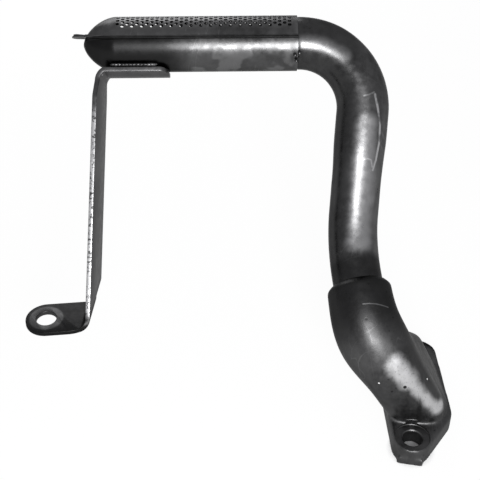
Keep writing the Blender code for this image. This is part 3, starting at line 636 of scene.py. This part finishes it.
def bar_material():
    steel = Metal("bar_steel", 0.07, 0.11, 0.18, 0.34, bump=0.08, edges=0.4)
    height = steel.along((0, 0, 0), (0, 0, 1))
    # Painted highlight: the strap's faces turned to the front lighter, broken into specks by noise.
    facing = steel.node("ShaderNodeNewGeometry").outputs["True Normal"]
    front = steel.vector("DOT_PRODUCT", facing, tuple(HEAD_TURN @ Vector((0, -1, 0))))
    front = steel.times(steel.ramp(front, 0.75, 0.95),
                        steel.band(height, 66 * MM, 142 * MM, 8 * MM))
    glint_specks = steel.ramp(steel.noise(steel.places(), 700.0, 3.0, 0.6), 0.38, 0.5)
    steel.lay(steel.times(front, glint_specks), 0.8, 0.6)
    # Painted shade: the foot plate near-black, standing in for the dark reflection of its upward
    # face.
    foot = steel.ramp(height, FOOT_HEIGHT + 4 * MM, FOOT_HEIGHT + 9 * MM, 1.0, 0.0)
    steel.lay(foot, 0.95, 0.012)
    hole = Vector((*FOOT_HOLE_PLACE, FOOT_HEIGHT + BAR_THICKNESS))
    steel.lay(steel.near(hole, 8.2 * MM, 1.2 * MM), 0.3, 0.12)
    return steel.made


def cast_material():
    iron = Metal("cast_skin", 0.05, 0.085, 0.13, 0.40, pits=0.56, bump=0.14, pit_scale=300.0,
                 edges=0.2)
    # Painted shade: the socket and the top of the elbow darkened, which damps the lamp's highlight
    # there.
    down = iron.uneven(iron.along(MOUTH, SOCKET_DOWN_WORLD), 16 * MM, 4 * MM)
    iron.lay(iron.ramp(down, 18.0 * MM, 42.0 * MM, 1.0, 0.0), 0.85, 0.022)
    # Painted highlight along the ridge of the elbow, down to the flange's right corner, broken up
    # by speckle.
    ridge_highlight = iron.math("MAXIMUM",
                       iron.path_mask(RIDGE_PAINTED_HIGHLIGHT[:2], 2.0 * MM, 6.0 * MM, 7 * MM, 3 * MM),
                       iron.path_mask(RIDGE_PAINTED_HIGHLIGHT[1:], 1.0 * MM, 4.0 * MM, 7 * MM, 2 * MM))
    speckle = iron.ramp(iron.noise(iron.places(), 900.0, 3.0, 0.6), 0.3, 0.42, 0.5, 1.0)
    iron.lay(iron.times(ridge_highlight, speckle), 0.9, 0.55)
    iron.lay(iron.path_mask(CAST_SCRATCH, 0.2 * MM, 0.3 * MM, 9 * MM, 0.0), 0.4, 0.3)
    for place in CAST_CHIPS:
        iron.lay(iron.near(place, 0.35 * MM, 0.3 * MM), 1.0, 1.0)
    iron.lay(iron.near(CAST_PIT, 0.8 * MM, 0.3 * MM), 0.95, 0.01)
    return iron.made


def weld_material():
    steel = Metal("weld_metal", 0.06, 0.14, 0.34, 0.3, bump=0.10)
    run = steel.along(HEAD_CORNER_WORLD, HEAD_TURN @ Vector((1, 0, 0)))
    drops = steel.ramp(steel.noise(steel.places(), 320.0, 2.0), 0.52, 0.64, 1.0, 0.2)
    bead = steel.times(steel.ramp(run, -70.0 * MM, -60.0 * MM, 1.0, 0.0), drops)
    steel.lay(bead, 0.85, 0.02)
    return steel.made


TUBE_STEEL, SHEET_STEEL, BAR_STEEL = tube_material(), sheet_material(), bar_material()
CAST_SKIN, WELD_METAL = cast_material(), weld_material()


# Tube

def suction_tube():
    corners = [HEAD_CORNER + HEAD_AXIS * (NECK_X - TUBE_IN_HEAD), HEAD_CORNER,
               Vector((0, 0, 0)), SOCKET_DOWN * (KNEE_TO_MOUTH + SOCKET_DEPTH - GAP)]
    coarse = filleted_path(corners, (TUBE_BEND_RADIUS, TUBE_LOW_BEND_RADIUS), radians(3.0))
    coarse.insert(1, HEAD_CORNER + HEAD_AXIS * (NECK_X + GAP / 2))
    centres = [coarse[0]]
    for one, two in zip(coarse, coarse[1:]):
        steps = max(1, ceil((two - one).length / (2.0 * MM)))
        centres += [one.lerp(two, k / steps) for k in range(1, steps + 1)]
    neck = HEAD_CORNER + HEAD_AXIS * (NECK_X + GAP)
    rings = []
    bm = bmesh.new()
    for inner in (False, True):
        order = reversed(range(len(centres))) if inner else range(len(centres))
        for k in order:
            centre = centres[k]
            run = (centres[min(k + 1, len(centres) - 1)] - centres[max(k - 1, 0)]).normalized()
            wide = Vector((0, 1, 0))
            wide = (wide - run * wide.dot(run)).normalized()
            deep = wide.cross(run)
            swage = smoothstep((SWAGE_START - centre.z) / (SWAGE_START - SWAGE_END))
            radius = TUBE_RADIUS + (TUBE_SWAGED_RADIUS - TUBE_RADIUS) * swage
            lumps = TUBE_LUMPS
            if (centre - neck).dot(HEAD_AXIS) <= 0 and centre.z > HEAD_HEIGHT / 2:
                radius, lumps = TUBE_SPIGOT_RADIUS, 0.0
            radius -= TUBE_INSET
            ring = []
            for side in range(TUBE_SIDES):
                angle = 2 * pi * side / TUBE_SIDES
                out = wide * cos(angle) + deep * sin(angle)
                uneven = ripple(centre + out * radius, TUBE_LUMP_SIZE, lumps) - lumps
                depth = radius + uneven - (TUBE_WALL if inner else 0.0)
                ring.append(bm.verts.new(centre + out * depth))
            rings.append(ring)
    piece("tube", skinned("tube", bm, rings, True), PLANE_FRAME, TUBE_STEEL, "suction_tube")


# Strainer head

def seam_height(x):
    share = (NOSE_X - x) / NOSE_LENGTH
    return SEAM_HEIGHT + SEAM_RISE * min(1.0, max(0.0, share)) ** 2


def shear_to_seam(bm, direction):
    for vert in bm.verts:
        vert.co.z += direction * seam_height(vert.co.x)


def head_skin(perforated):
    """The outer skin of the head, open at the neck."""
    perf_from, perf_to = NECK_X - PERF_FROM_NECK, NOSE_X + PERF_FROM_NOSE
    bays = round((perf_from - perf_to) / (PERF_PITCH * sqrt(3)))
    stations = [(NECK_X, HEAD_RADIUS)]
    stations += [(perf_from + (perf_to - perf_from) * k / bays, HEAD_RADIUS)
                 for k in range(bays + 1)]
    nose_steps = 18
    for k in range(nose_steps):
        angle = pi / 2 * (1 - k / nose_steps)
        stations.append((NOSE_X - NOSE_LENGTH * cos(angle) ** (2 / NOSE_POWER),
                         HEAD_RADIUS * sin(angle) ** (2 / NOSE_POWER)))
    bm = bmesh.new()
    grid = []
    for x, radius in stations:
        ring = []
        for k in range(SHELL_SIDES):
            angle = 2 * pi * k / SHELL_SIDES - pi
            ring.append(bm.verts.new((x, radius * sin(angle), radius * cos(angle))))
        grid.append(ring)
    grid.append([bm.verts.new((NOSE_X - NOSE_LENGTH, 0, 0))] * SHELL_SIDES)
    perf_steps = round(PERF_HALF_ANGLE / (2 * pi) * SHELL_SIDES)
    low, high = SHELL_SIDES // 2 - perf_steps, SHELL_SIDES // 2 + perf_steps
    for row in range(len(grid) - 1):
        for k in range(SHELL_SIDES):
            if perforated and 1 <= row <= bays and low <= k < high:
                continue
            after = (k + 1) % SHELL_SIDES
            corners = [grid[row][k], grid[row + 1][k], grid[row + 1][after], grid[row][after]]
            bm.faces.new(list(dict.fromkeys(corners)))
    if perforated:
        perforate(bm, grid, bays, low, high)
    return bm


def perforate(bm, grid, bays, low, high):
    """Fill the window left in the skin with sheet that has staggered round holes."""
    border = [grid[1 + bays][k] for k in range(low, high + 1)]
    border += [grid[row][high] for row in range(bays, 0, -1)]
    border += [grid[1][k] for k in range(high - 1, low - 1, -1)]
    border += [grid[row][low] for row in range(2, bays + 1)]
    flat = {vert: (vert.co.x, atan2(vert.co.y, vert.co.z) * HEAD_RADIUS) for vert in border}
    edges = []
    for index, vert in enumerate(border):
        ahead = border[(index + 1) % len(border)]
        edges.append(bm.edges.get((vert, ahead)) or bm.edges.new((vert, ahead)))
    x_low, x_high = grid[1 + bays][low].co.x, grid[1][low].co.x
    window = 2 * flat[grid[1][high]][1] - PERF_HOLE - 0.6 * MM
    rows = int(window / (PERF_PITCH / 2)) + 1
    column_gap = (x_high - x_low) / bays
    for row in range(rows):
        v = (row - (rows - 1) / 2) * PERF_PITCH / 2
        shift = 0.25 if row % 2 else 0.75
        for column in range(bays):
            u = x_low + (column + shift) * column_gap
            u += ripple((u * 7, v * 7, 0.3), MM, 0.06 * MM)
            hole = []
            for hu, hv in circle_outline(u, v, PERF_HOLE / 2, 12):
                vert = bm.verts.new((hu, hv, 0))
                flat[vert] = (hu, hv)
                hole.append(vert)
            edges += [bm.edges.new((hole[k - 1], hole[k])) for k in range(12)]
    for vert, (u, v) in flat.items():
        vert.co = (u, v, 0)
    bmesh.ops.triangle_fill(bm, edges=edges, use_beauty=True, normal=(0, 0, 1))
    for vert, (u, v) in flat.items():
        angle = v / HEAD_RADIUS
        vert.co = (u, HEAD_RADIUS * sin(angle), HEAD_RADIUS * cos(angle))


def add_rim(bm, level):
    """Turn the sheet outward along the seam, and run it out into the tongue at the tip."""
    edges = [edge for edge in bm.edges if all(abs(vert.co.z - level) < 1e-7 for vert in edge.verts)]
    neck = Vector((NECK_X, 0, level))
    outward = {}
    for edge in edges:
        one, two = edge.verts
        normal = (two.co - one.co).cross(Vector((0, 0, 1))).normalized()
        if normal.dot((one.co + two.co) / 2 - neck) < 0:
            normal = -normal
        for vert in edge.verts:
            outward.setdefault(vert, Vector())
            outward[vert] += normal
    outer = {vert: bm.verts.new(vert.co + normal.normalized() * RIM_WIDTH)
             for vert, normal in outward.items()}
    half = TONGUE_WIDTH / 2
    tip_x = min(vert.co.x for vert in outer.values()) - TONGUE_LENGTH
    ends = {}
    for vert, edge_vert in outer.items():
        if abs(vert.co.y) < half + 1e-6:
            edge_vert.co.y = vert.co.y
            share = vert.co.y / half
            x = tip_x + (1 - sqrt(1 - 0.9 * min(1.0, share * share))) * half
            ends[edge_vert] = bm.verts.new((x, vert.co.y, level))
    for edge in edges:
        one, two = edge.verts
        bm.faces.new((one, two, outer[two], outer[one]))
        if outer[one] in ends and outer[two] in ends:
            bm.faces.new((outer[one], outer[two], ends[outer[two]], ends[outer[one]]))


def half_shell(name, upper, node):
    bm = head_skin(upper)
    for side in (-1, 1):
        nose = [face for face in bm.faces if face.calc_center_median().x < NOSE_X]
        cut_through(bm, nose, (0, side * TONGUE_WIDTH / 2, 0), (0, 1, 0))
    shear_to_seam(bm, -1)
    level = (GAP / 2 + SHEET) * (1 if upper else -1)
    everything = bm.verts[:] + bm.edges[:] + bm.faces[:]
    bmesh.ops.bisect_plane(bm, geom=everything, dist=1e-7, plane_co=(0, 0, level),
                           plane_no=(0, 0, 1), clear_inner=upper, clear_outer=not upper)
    add_rim(bm, level)
    shear_to_seam(bm, 1)
    bmesh.ops.recalc_face_normals(bm, faces=bm.faces)
    side = 1 if upper else -1
    crown = max(bm.faces, key=lambda face: side * face.calc_center_median().z)
    if side * crown.normal.z < 0:
        bmesh.ops.reverse_faces(bm, faces=bm.faces)
    shell = link("working_shell", mesh_from_bmesh("working_shell", bm))
    wall = shell.modifiers.new("sheet", "SOLIDIFY")
    wall.thickness = SHEET
    wall.offset = -1.0
    wall.use_even_offset = True
    piece(name, applied(shell, name), HEAD_FRAME, SHEET_STEEL, node)


# Bracket

def bend(distance, off, angle, setback):
    """Run and rise past a fold, for a point at a distance along the bar and off its middle."""
    past = distance + setback
    if past <= 0:
        return distance, off
    turned = min(past / FOLD_RADIUS, angle)
    rest = past - turned * FOLD_RADIUS
    run = -setback + FOLD_RADIUS * sin(turned) + rest * cos(turned) - off * sin(turned)
    return run, FOLD_RADIUS * (1 - cos(turned)) + rest * sin(turned) + off * cos(turned)


def support_bracket():
    half = BAR_THICKNESS / 2
    up = Vector((sin(STRAP_TILT), 0, cos(STRAP_TILT)))
    out = Vector((-cos(STRAP_TILT), 0, sin(STRAP_TILT)))
    unrolled = Matrix((Vector((0, 1, 0)), up, out)).transposed()
    bar_frame = Matrix.Rotation(-BAR_ROLL, 3, up) @ unrolled
    corner = Vector((STRAP_TOP_X, 0, -(HEAD_RADIUS + GAP + half)))
    corner_world = HEAD_CORNER_WORLD + HEAD_TURN @ corner
    rise = (HEAD_TURN @ bar_frame).transposed() @ Vector((0, 0, 1))
    slope = hypot(rise.x, rise.y)
    down = Vector((-rise.x, -rise.y)) / slope
    across = Vector((rise.y, -rise.x)) / slope
    arm_fold = pi / 2 - STRAP_TILT
    foot_fold = atan2(slope, rise.z)
    arm_set = FOLD_RADIUS * tan(arm_fold / 2)
    foot_set = FOLD_RADIUS * tan(foot_fold / 2)
    arm_fold_run = FOLD_RADIUS * arm_fold
    arm_end = ARM_LENGTH - 2 * arm_set + arm_fold_run
    line = Vector((0, (FOOT_HEIGHT + half - corner_world.z) / rise.y))
    line_world = (corner_world + HEAD_TURN @ bar_frame @ line.to_3d()).xy
    fold_way = (HEAD_TURN @ bar_frame @ across.to_3d()).xy
    beyond = Vector((-fold_way.y, fold_way.x))
    foot_way = Vector((-cos(FOOT_TURN), -sin(FOOT_TURN)))

    def on_foot(along, side):
        """The blank's point that comes to lie along the foot from its hole, and to one side."""
        place = FOOT_HOLE_PLACE + foot_way * along + Vector((foot_way.y, -foot_way.x)) * side
        place -= line_world
        run = place.dot(beyond) - 2 * foot_set + FOLD_RADIUS * foot_fold
        return line + across * place.dot(fold_way) + down * run

    def on_arm(side, height):
        """The blank's point at a side of the arm, which runs along the head despite the roll."""
        middle = (height + arm_set) * tan(BAR_ROLL)
        return middle + side * cos(BAR_ROLL), height - side * sin(BAR_ROLL)

    def crossing(one, two, start, way):
        """Where the line through two points meets the line from a start along a way."""
        run = two - one
        return one + run * ((start - one).cross(way) / run.cross(way))

    front, back = BAR_OFFSET - BAR_WIDTH / 2, BAR_OFFSET + BAR_WIDTH / 2
    side = FOOT_WIDTH / 2
    near_end, far_end = on_foot(FOOT_END, -side), on_foot(FOOT_END, side)
    fold_start = line - down * foot_set
    knee = crossing(on_foot(0, -side), near_end, Vector((front, 0)), Vector((0, 1)))
    notch = crossing(on_foot(0, side), far_end, fold_start, across)
    notch_back = crossing(fold_start, fold_start + across, Vector((back, 0)), Vector((0, 1)))
    arm_side, neck_low = ARM_WIDTH / 2, -arm_set - FOLD_RADIUS - ARM_TAPER
    corners = [(*on_arm(-arm_side, arm_end), ARM_CORNER_RADIUS), (-arm_side, -arm_set, ARM_TAPER),
               (front, neck_low, ARM_TAPER), (*knee, FOOT_KNEE_RADIUS),
               (*near_end, FOOT_CORNER_RADIUS), (*far_end, FOOT_CORNER_RADIUS),
               (*notch, 1.5 * MM), (*notch_back, 2.0 * MM), (back, neck_low, ARM_TAPER),
               (arm_side, -arm_set, ARM_TAPER), (*on_arm(arm_side, arm_end), ARM_CORNER_RADIUS)]
    outlines = [rounded_outline(corners), circle_outline(*on_foot(0, 0), FOOT_HOLE / 2)]
    blank = link("working_blank", flat_curve("working_blank", outlines, half, BAR_EDGE))
    mesh = applied(blank, "bracket", WELD)
    bm = bmesh.new()
    bm.from_mesh(mesh)
    steps = 12
    cuts = [((0, -arm_set + arm_fold_run * k / steps, 0), (0, 1, 0)) for k in range(steps + 1)]
    cuts += [((line + down * (-foot_set + FOLD_RADIUS * foot_fold * k / steps)).to_3d(),
              down.to_3d()) for k in range(steps + 1)]
    for place, normal in cuts:
        cut_through(bm, bm.faces[:], place, normal)
    for k in range(1, steps):
        arm = [face for face in bm.faces if face.calc_center_median().y > -arm_set]
        cut_through(bm, arm, (ARM_WIDTH * (k / steps - 0.5), 0, 0), (1, 0, 0))
    for vert in bm.verts:
        flat, off = Vector(vert.co.xy), vert.co.z
        height, lift = bend(flat.y, -off, arm_fold, arm_set)
        on_the_arm = smoothstep((flat.y + arm_set) / arm_fold_run)
        off_middle = flat.x - max(0.0, flat.y + arm_set) * tan(BAR_ROLL)
        height += off_middle ** 2 / (2 * SADDLE_RADIUS) * on_the_arm
        place = Vector((flat.x, height, -lift))
        below = (flat - line).dot(down)
        if below > -foot_set:
            run, lift = bend(below, off, foot_fold, foot_set)
            place = (flat + down * (run - below)).to_3d() + Vector((0, 0, lift))
        vert.co = corner + bar_frame @ place
    bmesh.ops.recalc_face_normals(bm, faces=bm.faces)
    bm.to_mesh(mesh)
    bm.free()
    piece("bracket", mesh, HEAD_FRAME, BAR_STEEL, "support_bracket")


# Welds

def weld_bead(name, side, node):
    """A bead laid as overlapping drops, a little uneven."""
    start, end = STRAP_TOP_X + BEAD_FROM_STRAP, STRAP_TOP_X + ARM_LENGTH - BEAD_FROM_END
    count, sides = 140, 20
    rings = []
    bm = bmesh.new()
    for k in range(count + 1):
        share = k / count
        x = start + (end - start) * share
        drop = abs(sin(pi * (x - start) / (1.9 * MM)))
        ends = min(1.0, sqrt(min(share, 1 - share) * 14 + 0.02))
        radius = BEAD_RADIUS * (0.80 + 0.16 * drop) * ends
        centre = Vector((x, side * BEAD_SIDE, -BEAD_DROP))
        ring = []
        for s in range(sides):
            angle = 2 * pi * s / sides
            out = Vector((0, cos(angle), sin(angle)))
            uneven = ripple(centre + out * radius, 1.4 * MM, 0.10 * MM)
            ring.append(bm.verts.new(centre + out * min(radius + uneven, BEAD_RADIUS)))
        rings.append(ring)
    piece(name, skinned(name, bm, rings), HEAD_FRAME, WELD_METAL, node, WELD_EDGE)


def tack(name, along, angle, node):
    """A small round tack beside the neck, at an angle below the seam."""
    bm = bmesh.new()
    bmesh.ops.create_icosphere(bm, subdivisions=4, radius=TACK_RADIUS * 0.94)
    for vert in bm.verts:
        vert.co *= 1 + ripple(vert.co + Vector((along, 0, angle)), 0.9 * MM, 0.07)
    reach = HEAD_RADIUS + GAP + TACK_RADIUS
    place = (NECK_X + along, -reach * cos(angle), -reach * sin(angle))
    bmesh.ops.translate(bm, vec=place, verts=bm.verts)
    piece(name, mesh_from_bmesh(name, bm), HEAD_FRAME, WELD_METAL, node, WELD_EDGE)


# Casting

def elbow_point(share):
    """A place on the casting's centre line, which is one smooth curve."""
    points = [MOUTH, MOUTH + SOCKET_DOWN_WORLD * ELBOW_LEAD_IN, ELBOW_KNEE, ELBOW_LEAD_OUT,
              Vector((0, 0, 0))]
    while len(points) > 1:
        points = [one.lerp(two, share) for one, two in zip(points, points[1:])]
    return points[0]


def elbow_frame(share):
    small = 1e-3
    run = elbow_point(min(1.0, share + small)) - elbow_point(max(0.0, share - small))
    run.normalize()
    wide = Vector((1, 0, 0))
    wide = (wide - run * wide.dot(run)).normalized()
    return elbow_point(share), wide, wide.cross(run)


def elbow_blank():
    end = (-FOOTPRINT_END_OUT, -FOOTPRINT_END_ALONG, FOOTPRINT_END_RADIUS)
    shoulder = (SHOULDER_OUT, -SHOULDER_ALONG, SHOULDER_RADIUS - FOOTPRINT_INSET)
    circles = [end, shoulder] + [(-x, -y, radius) for x, y, radius in (end, shoulder)]
    footprint = belt_outline(circles)
    sides = 96
    mouth_share = SOCKET_CHAMFER / (4 * ELBOW_LEAD_IN)
    shares = [0.0, mouth_share] + [0.1 + 0.9 * k / 48 for k in range(49)]
    bm = bmesh.new()
    rings = []
    for share in shares:
        centre, wide, deep = elbow_frame(share)
        blend = smoothstep((share - 0.3) / 0.6)
        twist = FLANGE_TURN * blend
        ring = []
        for k in range(sides):
            angle = 2 * pi * k / sides
            radius = SOCKET_RADIUS * (1 - blend) + reach_of_outline(footprint, angle) * blend
            radius += ELBOW_SWELL * sin(pi * share) ** 2
            if share == 0.0:
                radius -= SOCKET_CHAMFER
            place = wide * (radius * cos(angle + twist)) + deep * (radius * sin(angle + twist))
            ring.append(bm.verts.new(centre + place))
        rings.append(ring)
    return link("working_elbow", skinned("working_elbow", bm, rings))


def back_shoulder():
    """The shoulder behind the elbow, and the flank that runs from its ridge to the flange."""
    ball = bmesh.new()
    bmesh.ops.create_icosphere(ball, subdivisions=4, radius=1.0)
    bm = bmesh.new()
    for centre, radius in ((elbow_point(BACK_ROOT_SHARE), SOCKET_RADIUS + ELBOW_SWELL / 2),
                           (BACK_SHOULDER, BACK_SHOULDER_RADIUS), (BACK_FOOT, BACK_FOOT_RADIUS),
                           (RIDGE_FOOT, RIDGE_FOOT_RADIUS)):
        for vert in ball.verts:
            bm.verts.new(centre + vert.co * radius)
    ball.free()
    bmesh.ops.convex_hull(bm, input=bm.verts)
    inner = [vert for vert in bm.verts if not vert.link_faces]
    bmesh.ops.delete(bm, geom=inner, context="VERTS")
    bmesh.ops.recalc_face_normals(bm, faces=bm.faces)
    return link("working_shoulder", mesh_from_bmesh("working_shoulder", bm))


def turned_cutter(name, profile, start, axis, sides=64):
    """A cutter turned about an axis from (distance along, radius) pairs."""
    bm = bmesh.new()
    turn = axis.to_track_quat("Z", "Y").to_matrix()
    rings = [[bm.verts.new(start + turn @ Vector((x, y, distance)))
              for x, y in circle_outline(0.0, 0.0, radius, sides)]
             for distance, radius in profile]
    return link(name, skinned(name, bm, rings))


def box_blank(name, low, high):
    bm = bmesh.new()
    bmesh.ops.create_cube(bm, size=1.0)
    bmesh.ops.scale(bm, vec=high - low, verts=bm.verts)
    bmesh.ops.translate(bm, vec=(low + high) / 2, verts=bm.verts)
    bmesh.ops.transform(bm, matrix=FLANGE_FRAME, verts=bm.verts)
    return link(name, mesh_from_bmesh(name, bm))


def boolean(target, other, operation):
    step = target.modifiers.new(other.name, "BOOLEAN")
    step.object = other
    step.operation = operation
    step.solver = "EXACT"


def flange_elbow():
    circles = [(0, -BOLT_SPACING / 2, EAR_RADIUS), (SHOULDER_OUT, -SHOULDER_ALONG, SHOULDER_RADIUS),
               (0, BOLT_SPACING / 2, EAR_RADIUS), (-SHOULDER_OUT, SHOULDER_ALONG, SHOULDER_RADIUS)]
    height = FLANGE_THICKNESS + CAST_STOCK
    plate = link("working_plate", flat_curve("working_plate", [belt_outline(circles)], height / 2))
    plate = link("working_plate", applied(plate, "working_plate", WELD))
    plate.data.transform(Matrix.Translation((0, 0, height / 2 - CAST_STOCK)))
    plate.data.transform(FLANGE_FRAME)
    tip = -BOLT_SPACING / 2 - EAR_RADIUS
    helpers = [elbow_blank(), back_shoulder(),
               box_blank("working_gate",
                         Vector((-GATE_WIDTH / 2, tip - GATE_STAND, -CAST_STOCK)),
                         Vector((GATE_WIDTH / 2, tip + EAR_RADIUS / 2, GATE_HEIGHT)))]
    for helper in helpers:
        boolean(plate, helper, "UNION")
    skin = plate.modifiers.new("skin", "REMESH")
    skin.mode = "VOXEL"
    skin.voxel_size = CAST_VOXEL
    relax = plate.modifiers.new("relax", "SMOOTH")
    relax.factor = 0.5
    relax.iterations = 14

    clear = BOLT_SPACING
    tools = [box_blank("face_mill", Vector((-clear, -clear, -4 * CAST_STOCK)),
                       Vector((clear, clear, 0)))]
    up = Vector((0, 0, 1))
    for side in (-1, 1):
        place = FLANGE_FRAME @ Vector((0, side * BOLT_SPACING / 2, 0))
        seat = FLANGE_THICKNESS - SPOTFACE_DEPTH
        tools.append(turned_cutter("spotface", [(seat, SPOTFACE_RADIUS - 0.3 * MM),
                                                (seat + 0.3 * MM, SPOTFACE_RADIUS),
                                                (clear, SPOTFACE_RADIUS)], place, up))
        wide = BOLT_HOLE / 2 + HOLE_CHAMFER
        tools.append(turned_cutter("bolt_drill", [(-4 * MM, wide + 4 * MM), (0, wide),
                                                  (HOLE_CHAMFER, BOLT_HOLE / 2),
                                                  (seat - HOLE_CHAMFER, BOLT_HOLE / 2),
                                                  (seat, wide), (seat + 4 * MM, wide + 4 * MM)],
                                   place, up, 48))
    tools.append(turned_cutter("socket_bore", [(-SOCKET_DEPTH, SOCKET_BORE_RADIUS),
                                               (SOCKET_DEPTH, SOCKET_BORE_RADIUS)], MOUTH,
                               SOCKET_DOWN_WORLD, 72))
    first = SOCKET_DEPTH / (4 * ELBOW_LEAD_IN)
    path = [elbow_point(first + (1 - first) * k / 30) for k in range(31)]
    path.append(Vector((0, 0, -3 * CAST_STOCK)))
    passage = link("passage", path_curve("passage", path, OUTLET_RADIUS, 48))
    tools.append(link("passage", applied(passage, "passage", WELD)))
    for tool in tools:
        boolean(plate, tool, "DIFFERENCE")
    mesh = applied(plate, "casting")
    for helper in helpers + tools:
        bpy.data.objects.remove(helper, do_unlink=True)
    piece("casting", mesh, Matrix.Identity(4), CAST_SKIN, "flange_elbow")


suction_tube()
half_shell("cover", True, "strainer_cover")
half_shell("lower_shell", False, "strainer_shell")
support_bracket()
weld_bead("front_bead", -1, "arm_weld_front")
weld_bead("back_bead", 1, "arm_weld_back")
for number, (along, angle) in enumerate(TACK_PLACES, 1):
    tack(f"tack_{number}", along, angle, f"neck_tack_{number}")
flange_elbow()

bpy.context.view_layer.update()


# Stage, lights and camera

def stage_plane(name, centre, extent, mat):
    bm = bmesh.new()
    bmesh.ops.create_grid(bm, x_segments=1, y_segments=1, size=extent)
    bmesh.ops.translate(bm, vec=centre, verts=bm.verts)
    mesh = mesh_from_bmesh(name, bm)
    mesh.materials.append(mat)
    link(name, mesh)


def shown_white(tree, share):
    """How much plain white to add: a share, for camera, glossy and transmission rays."""
    path = tree.nodes.new("ShaderNodeLightPath").outputs
    seen = tree.math("ADD", path["Is Camera Ray"], path["Is Glossy Ray"])
    seen = tree.math("MINIMUM", tree.math("ADD", seen, path["Is Transmission Ray"]), 1.0)
    return tree.times(seen, share)


floor_paper = bpy.data.materials.new("floor_paper")
floor_paper.use_nodes = True
tree = Tree(floor_paper.node_tree)
shader = tree.nodes["Principled BSDF"]
for label, value in (("Base Color", (0.85, 0.85, 0.85, 1)), ("Roughness", 0.9),
                     ("Specular IOR Level", 0.1)):
    tree.put(shader.inputs[label], value)
white = tree.nodes.new("ShaderNodeEmission")
both = tree.nodes.new("ShaderNodeMixShader")
under_hole = tree.near(FLANGE_FRAME @ Vector((0, -BOLT_SPACING / 2, 0)), BOLT_HOLE, 3.0 * MM)
open_floor = tree.math("SUBTRACT", 1.0, under_hole)
tree.put(both.inputs["Fac"], tree.times(shown_white(tree, 0.93), open_floor))
tree.links.new(shader.outputs["BSDF"], both.inputs[1])
tree.links.new(white.outputs["Emission"], both.inputs[2])
tree.links.new(both.outputs["Shader"], tree.nodes["Material Output"].inputs["Surface"])
stage_plane("floor", (0, 0, -0.2 * MM), 4.0, floor_paper)

world = bpy.data.worlds.new("studio")
bpy.context.scene.world = world
world.use_nodes = True
tree = Tree(world.node_tree)
background = tree.nodes["Background"].inputs
tree.put(background["Color"],
         tree.mix(tree.nodes.new("ShaderNodeLightPath").outputs["Is Camera Ray"],
                  (0.55, 0.55, 0.56, 1), (1.0, 1.0, 1.0, 1)))
tree.put(background["Strength"], 1.0)


def area_light(name, place, target, size, power):
    data = bpy.data.lights.new(name, "AREA")
    data.shape = "RECTANGLE"
    data.size, data.size_y = size
    data.energy = power
    made = link(name, data)
    made.location = place
    made.rotation_euler = (Vector(target) - Vector(place)).to_track_quat("-Z", "Y").to_euler()


middle =(-0.09, 0.03, 0.09)
area_light("key", (-0.02, -0.62, 0.40), middle, (0.26, 0.26), 6.0)
area_light("back", (-0.30, 0.80, 0.45), middle, (0.5, 0.5), 3.0)

camera = link("camera", bpy.data.cameras.new("camera"))
camera.data.lens = 75.0
camera.data.sensor_width = 36.0
camera.location = (-0.0960, -0.3798, 0.4125)
camera.rotation_euler = (radians(52.0), 0.0, 0.0)
bpy.context.scene.camera = camera
bpy.context.scene.view_settings.view_transform = "Standard"
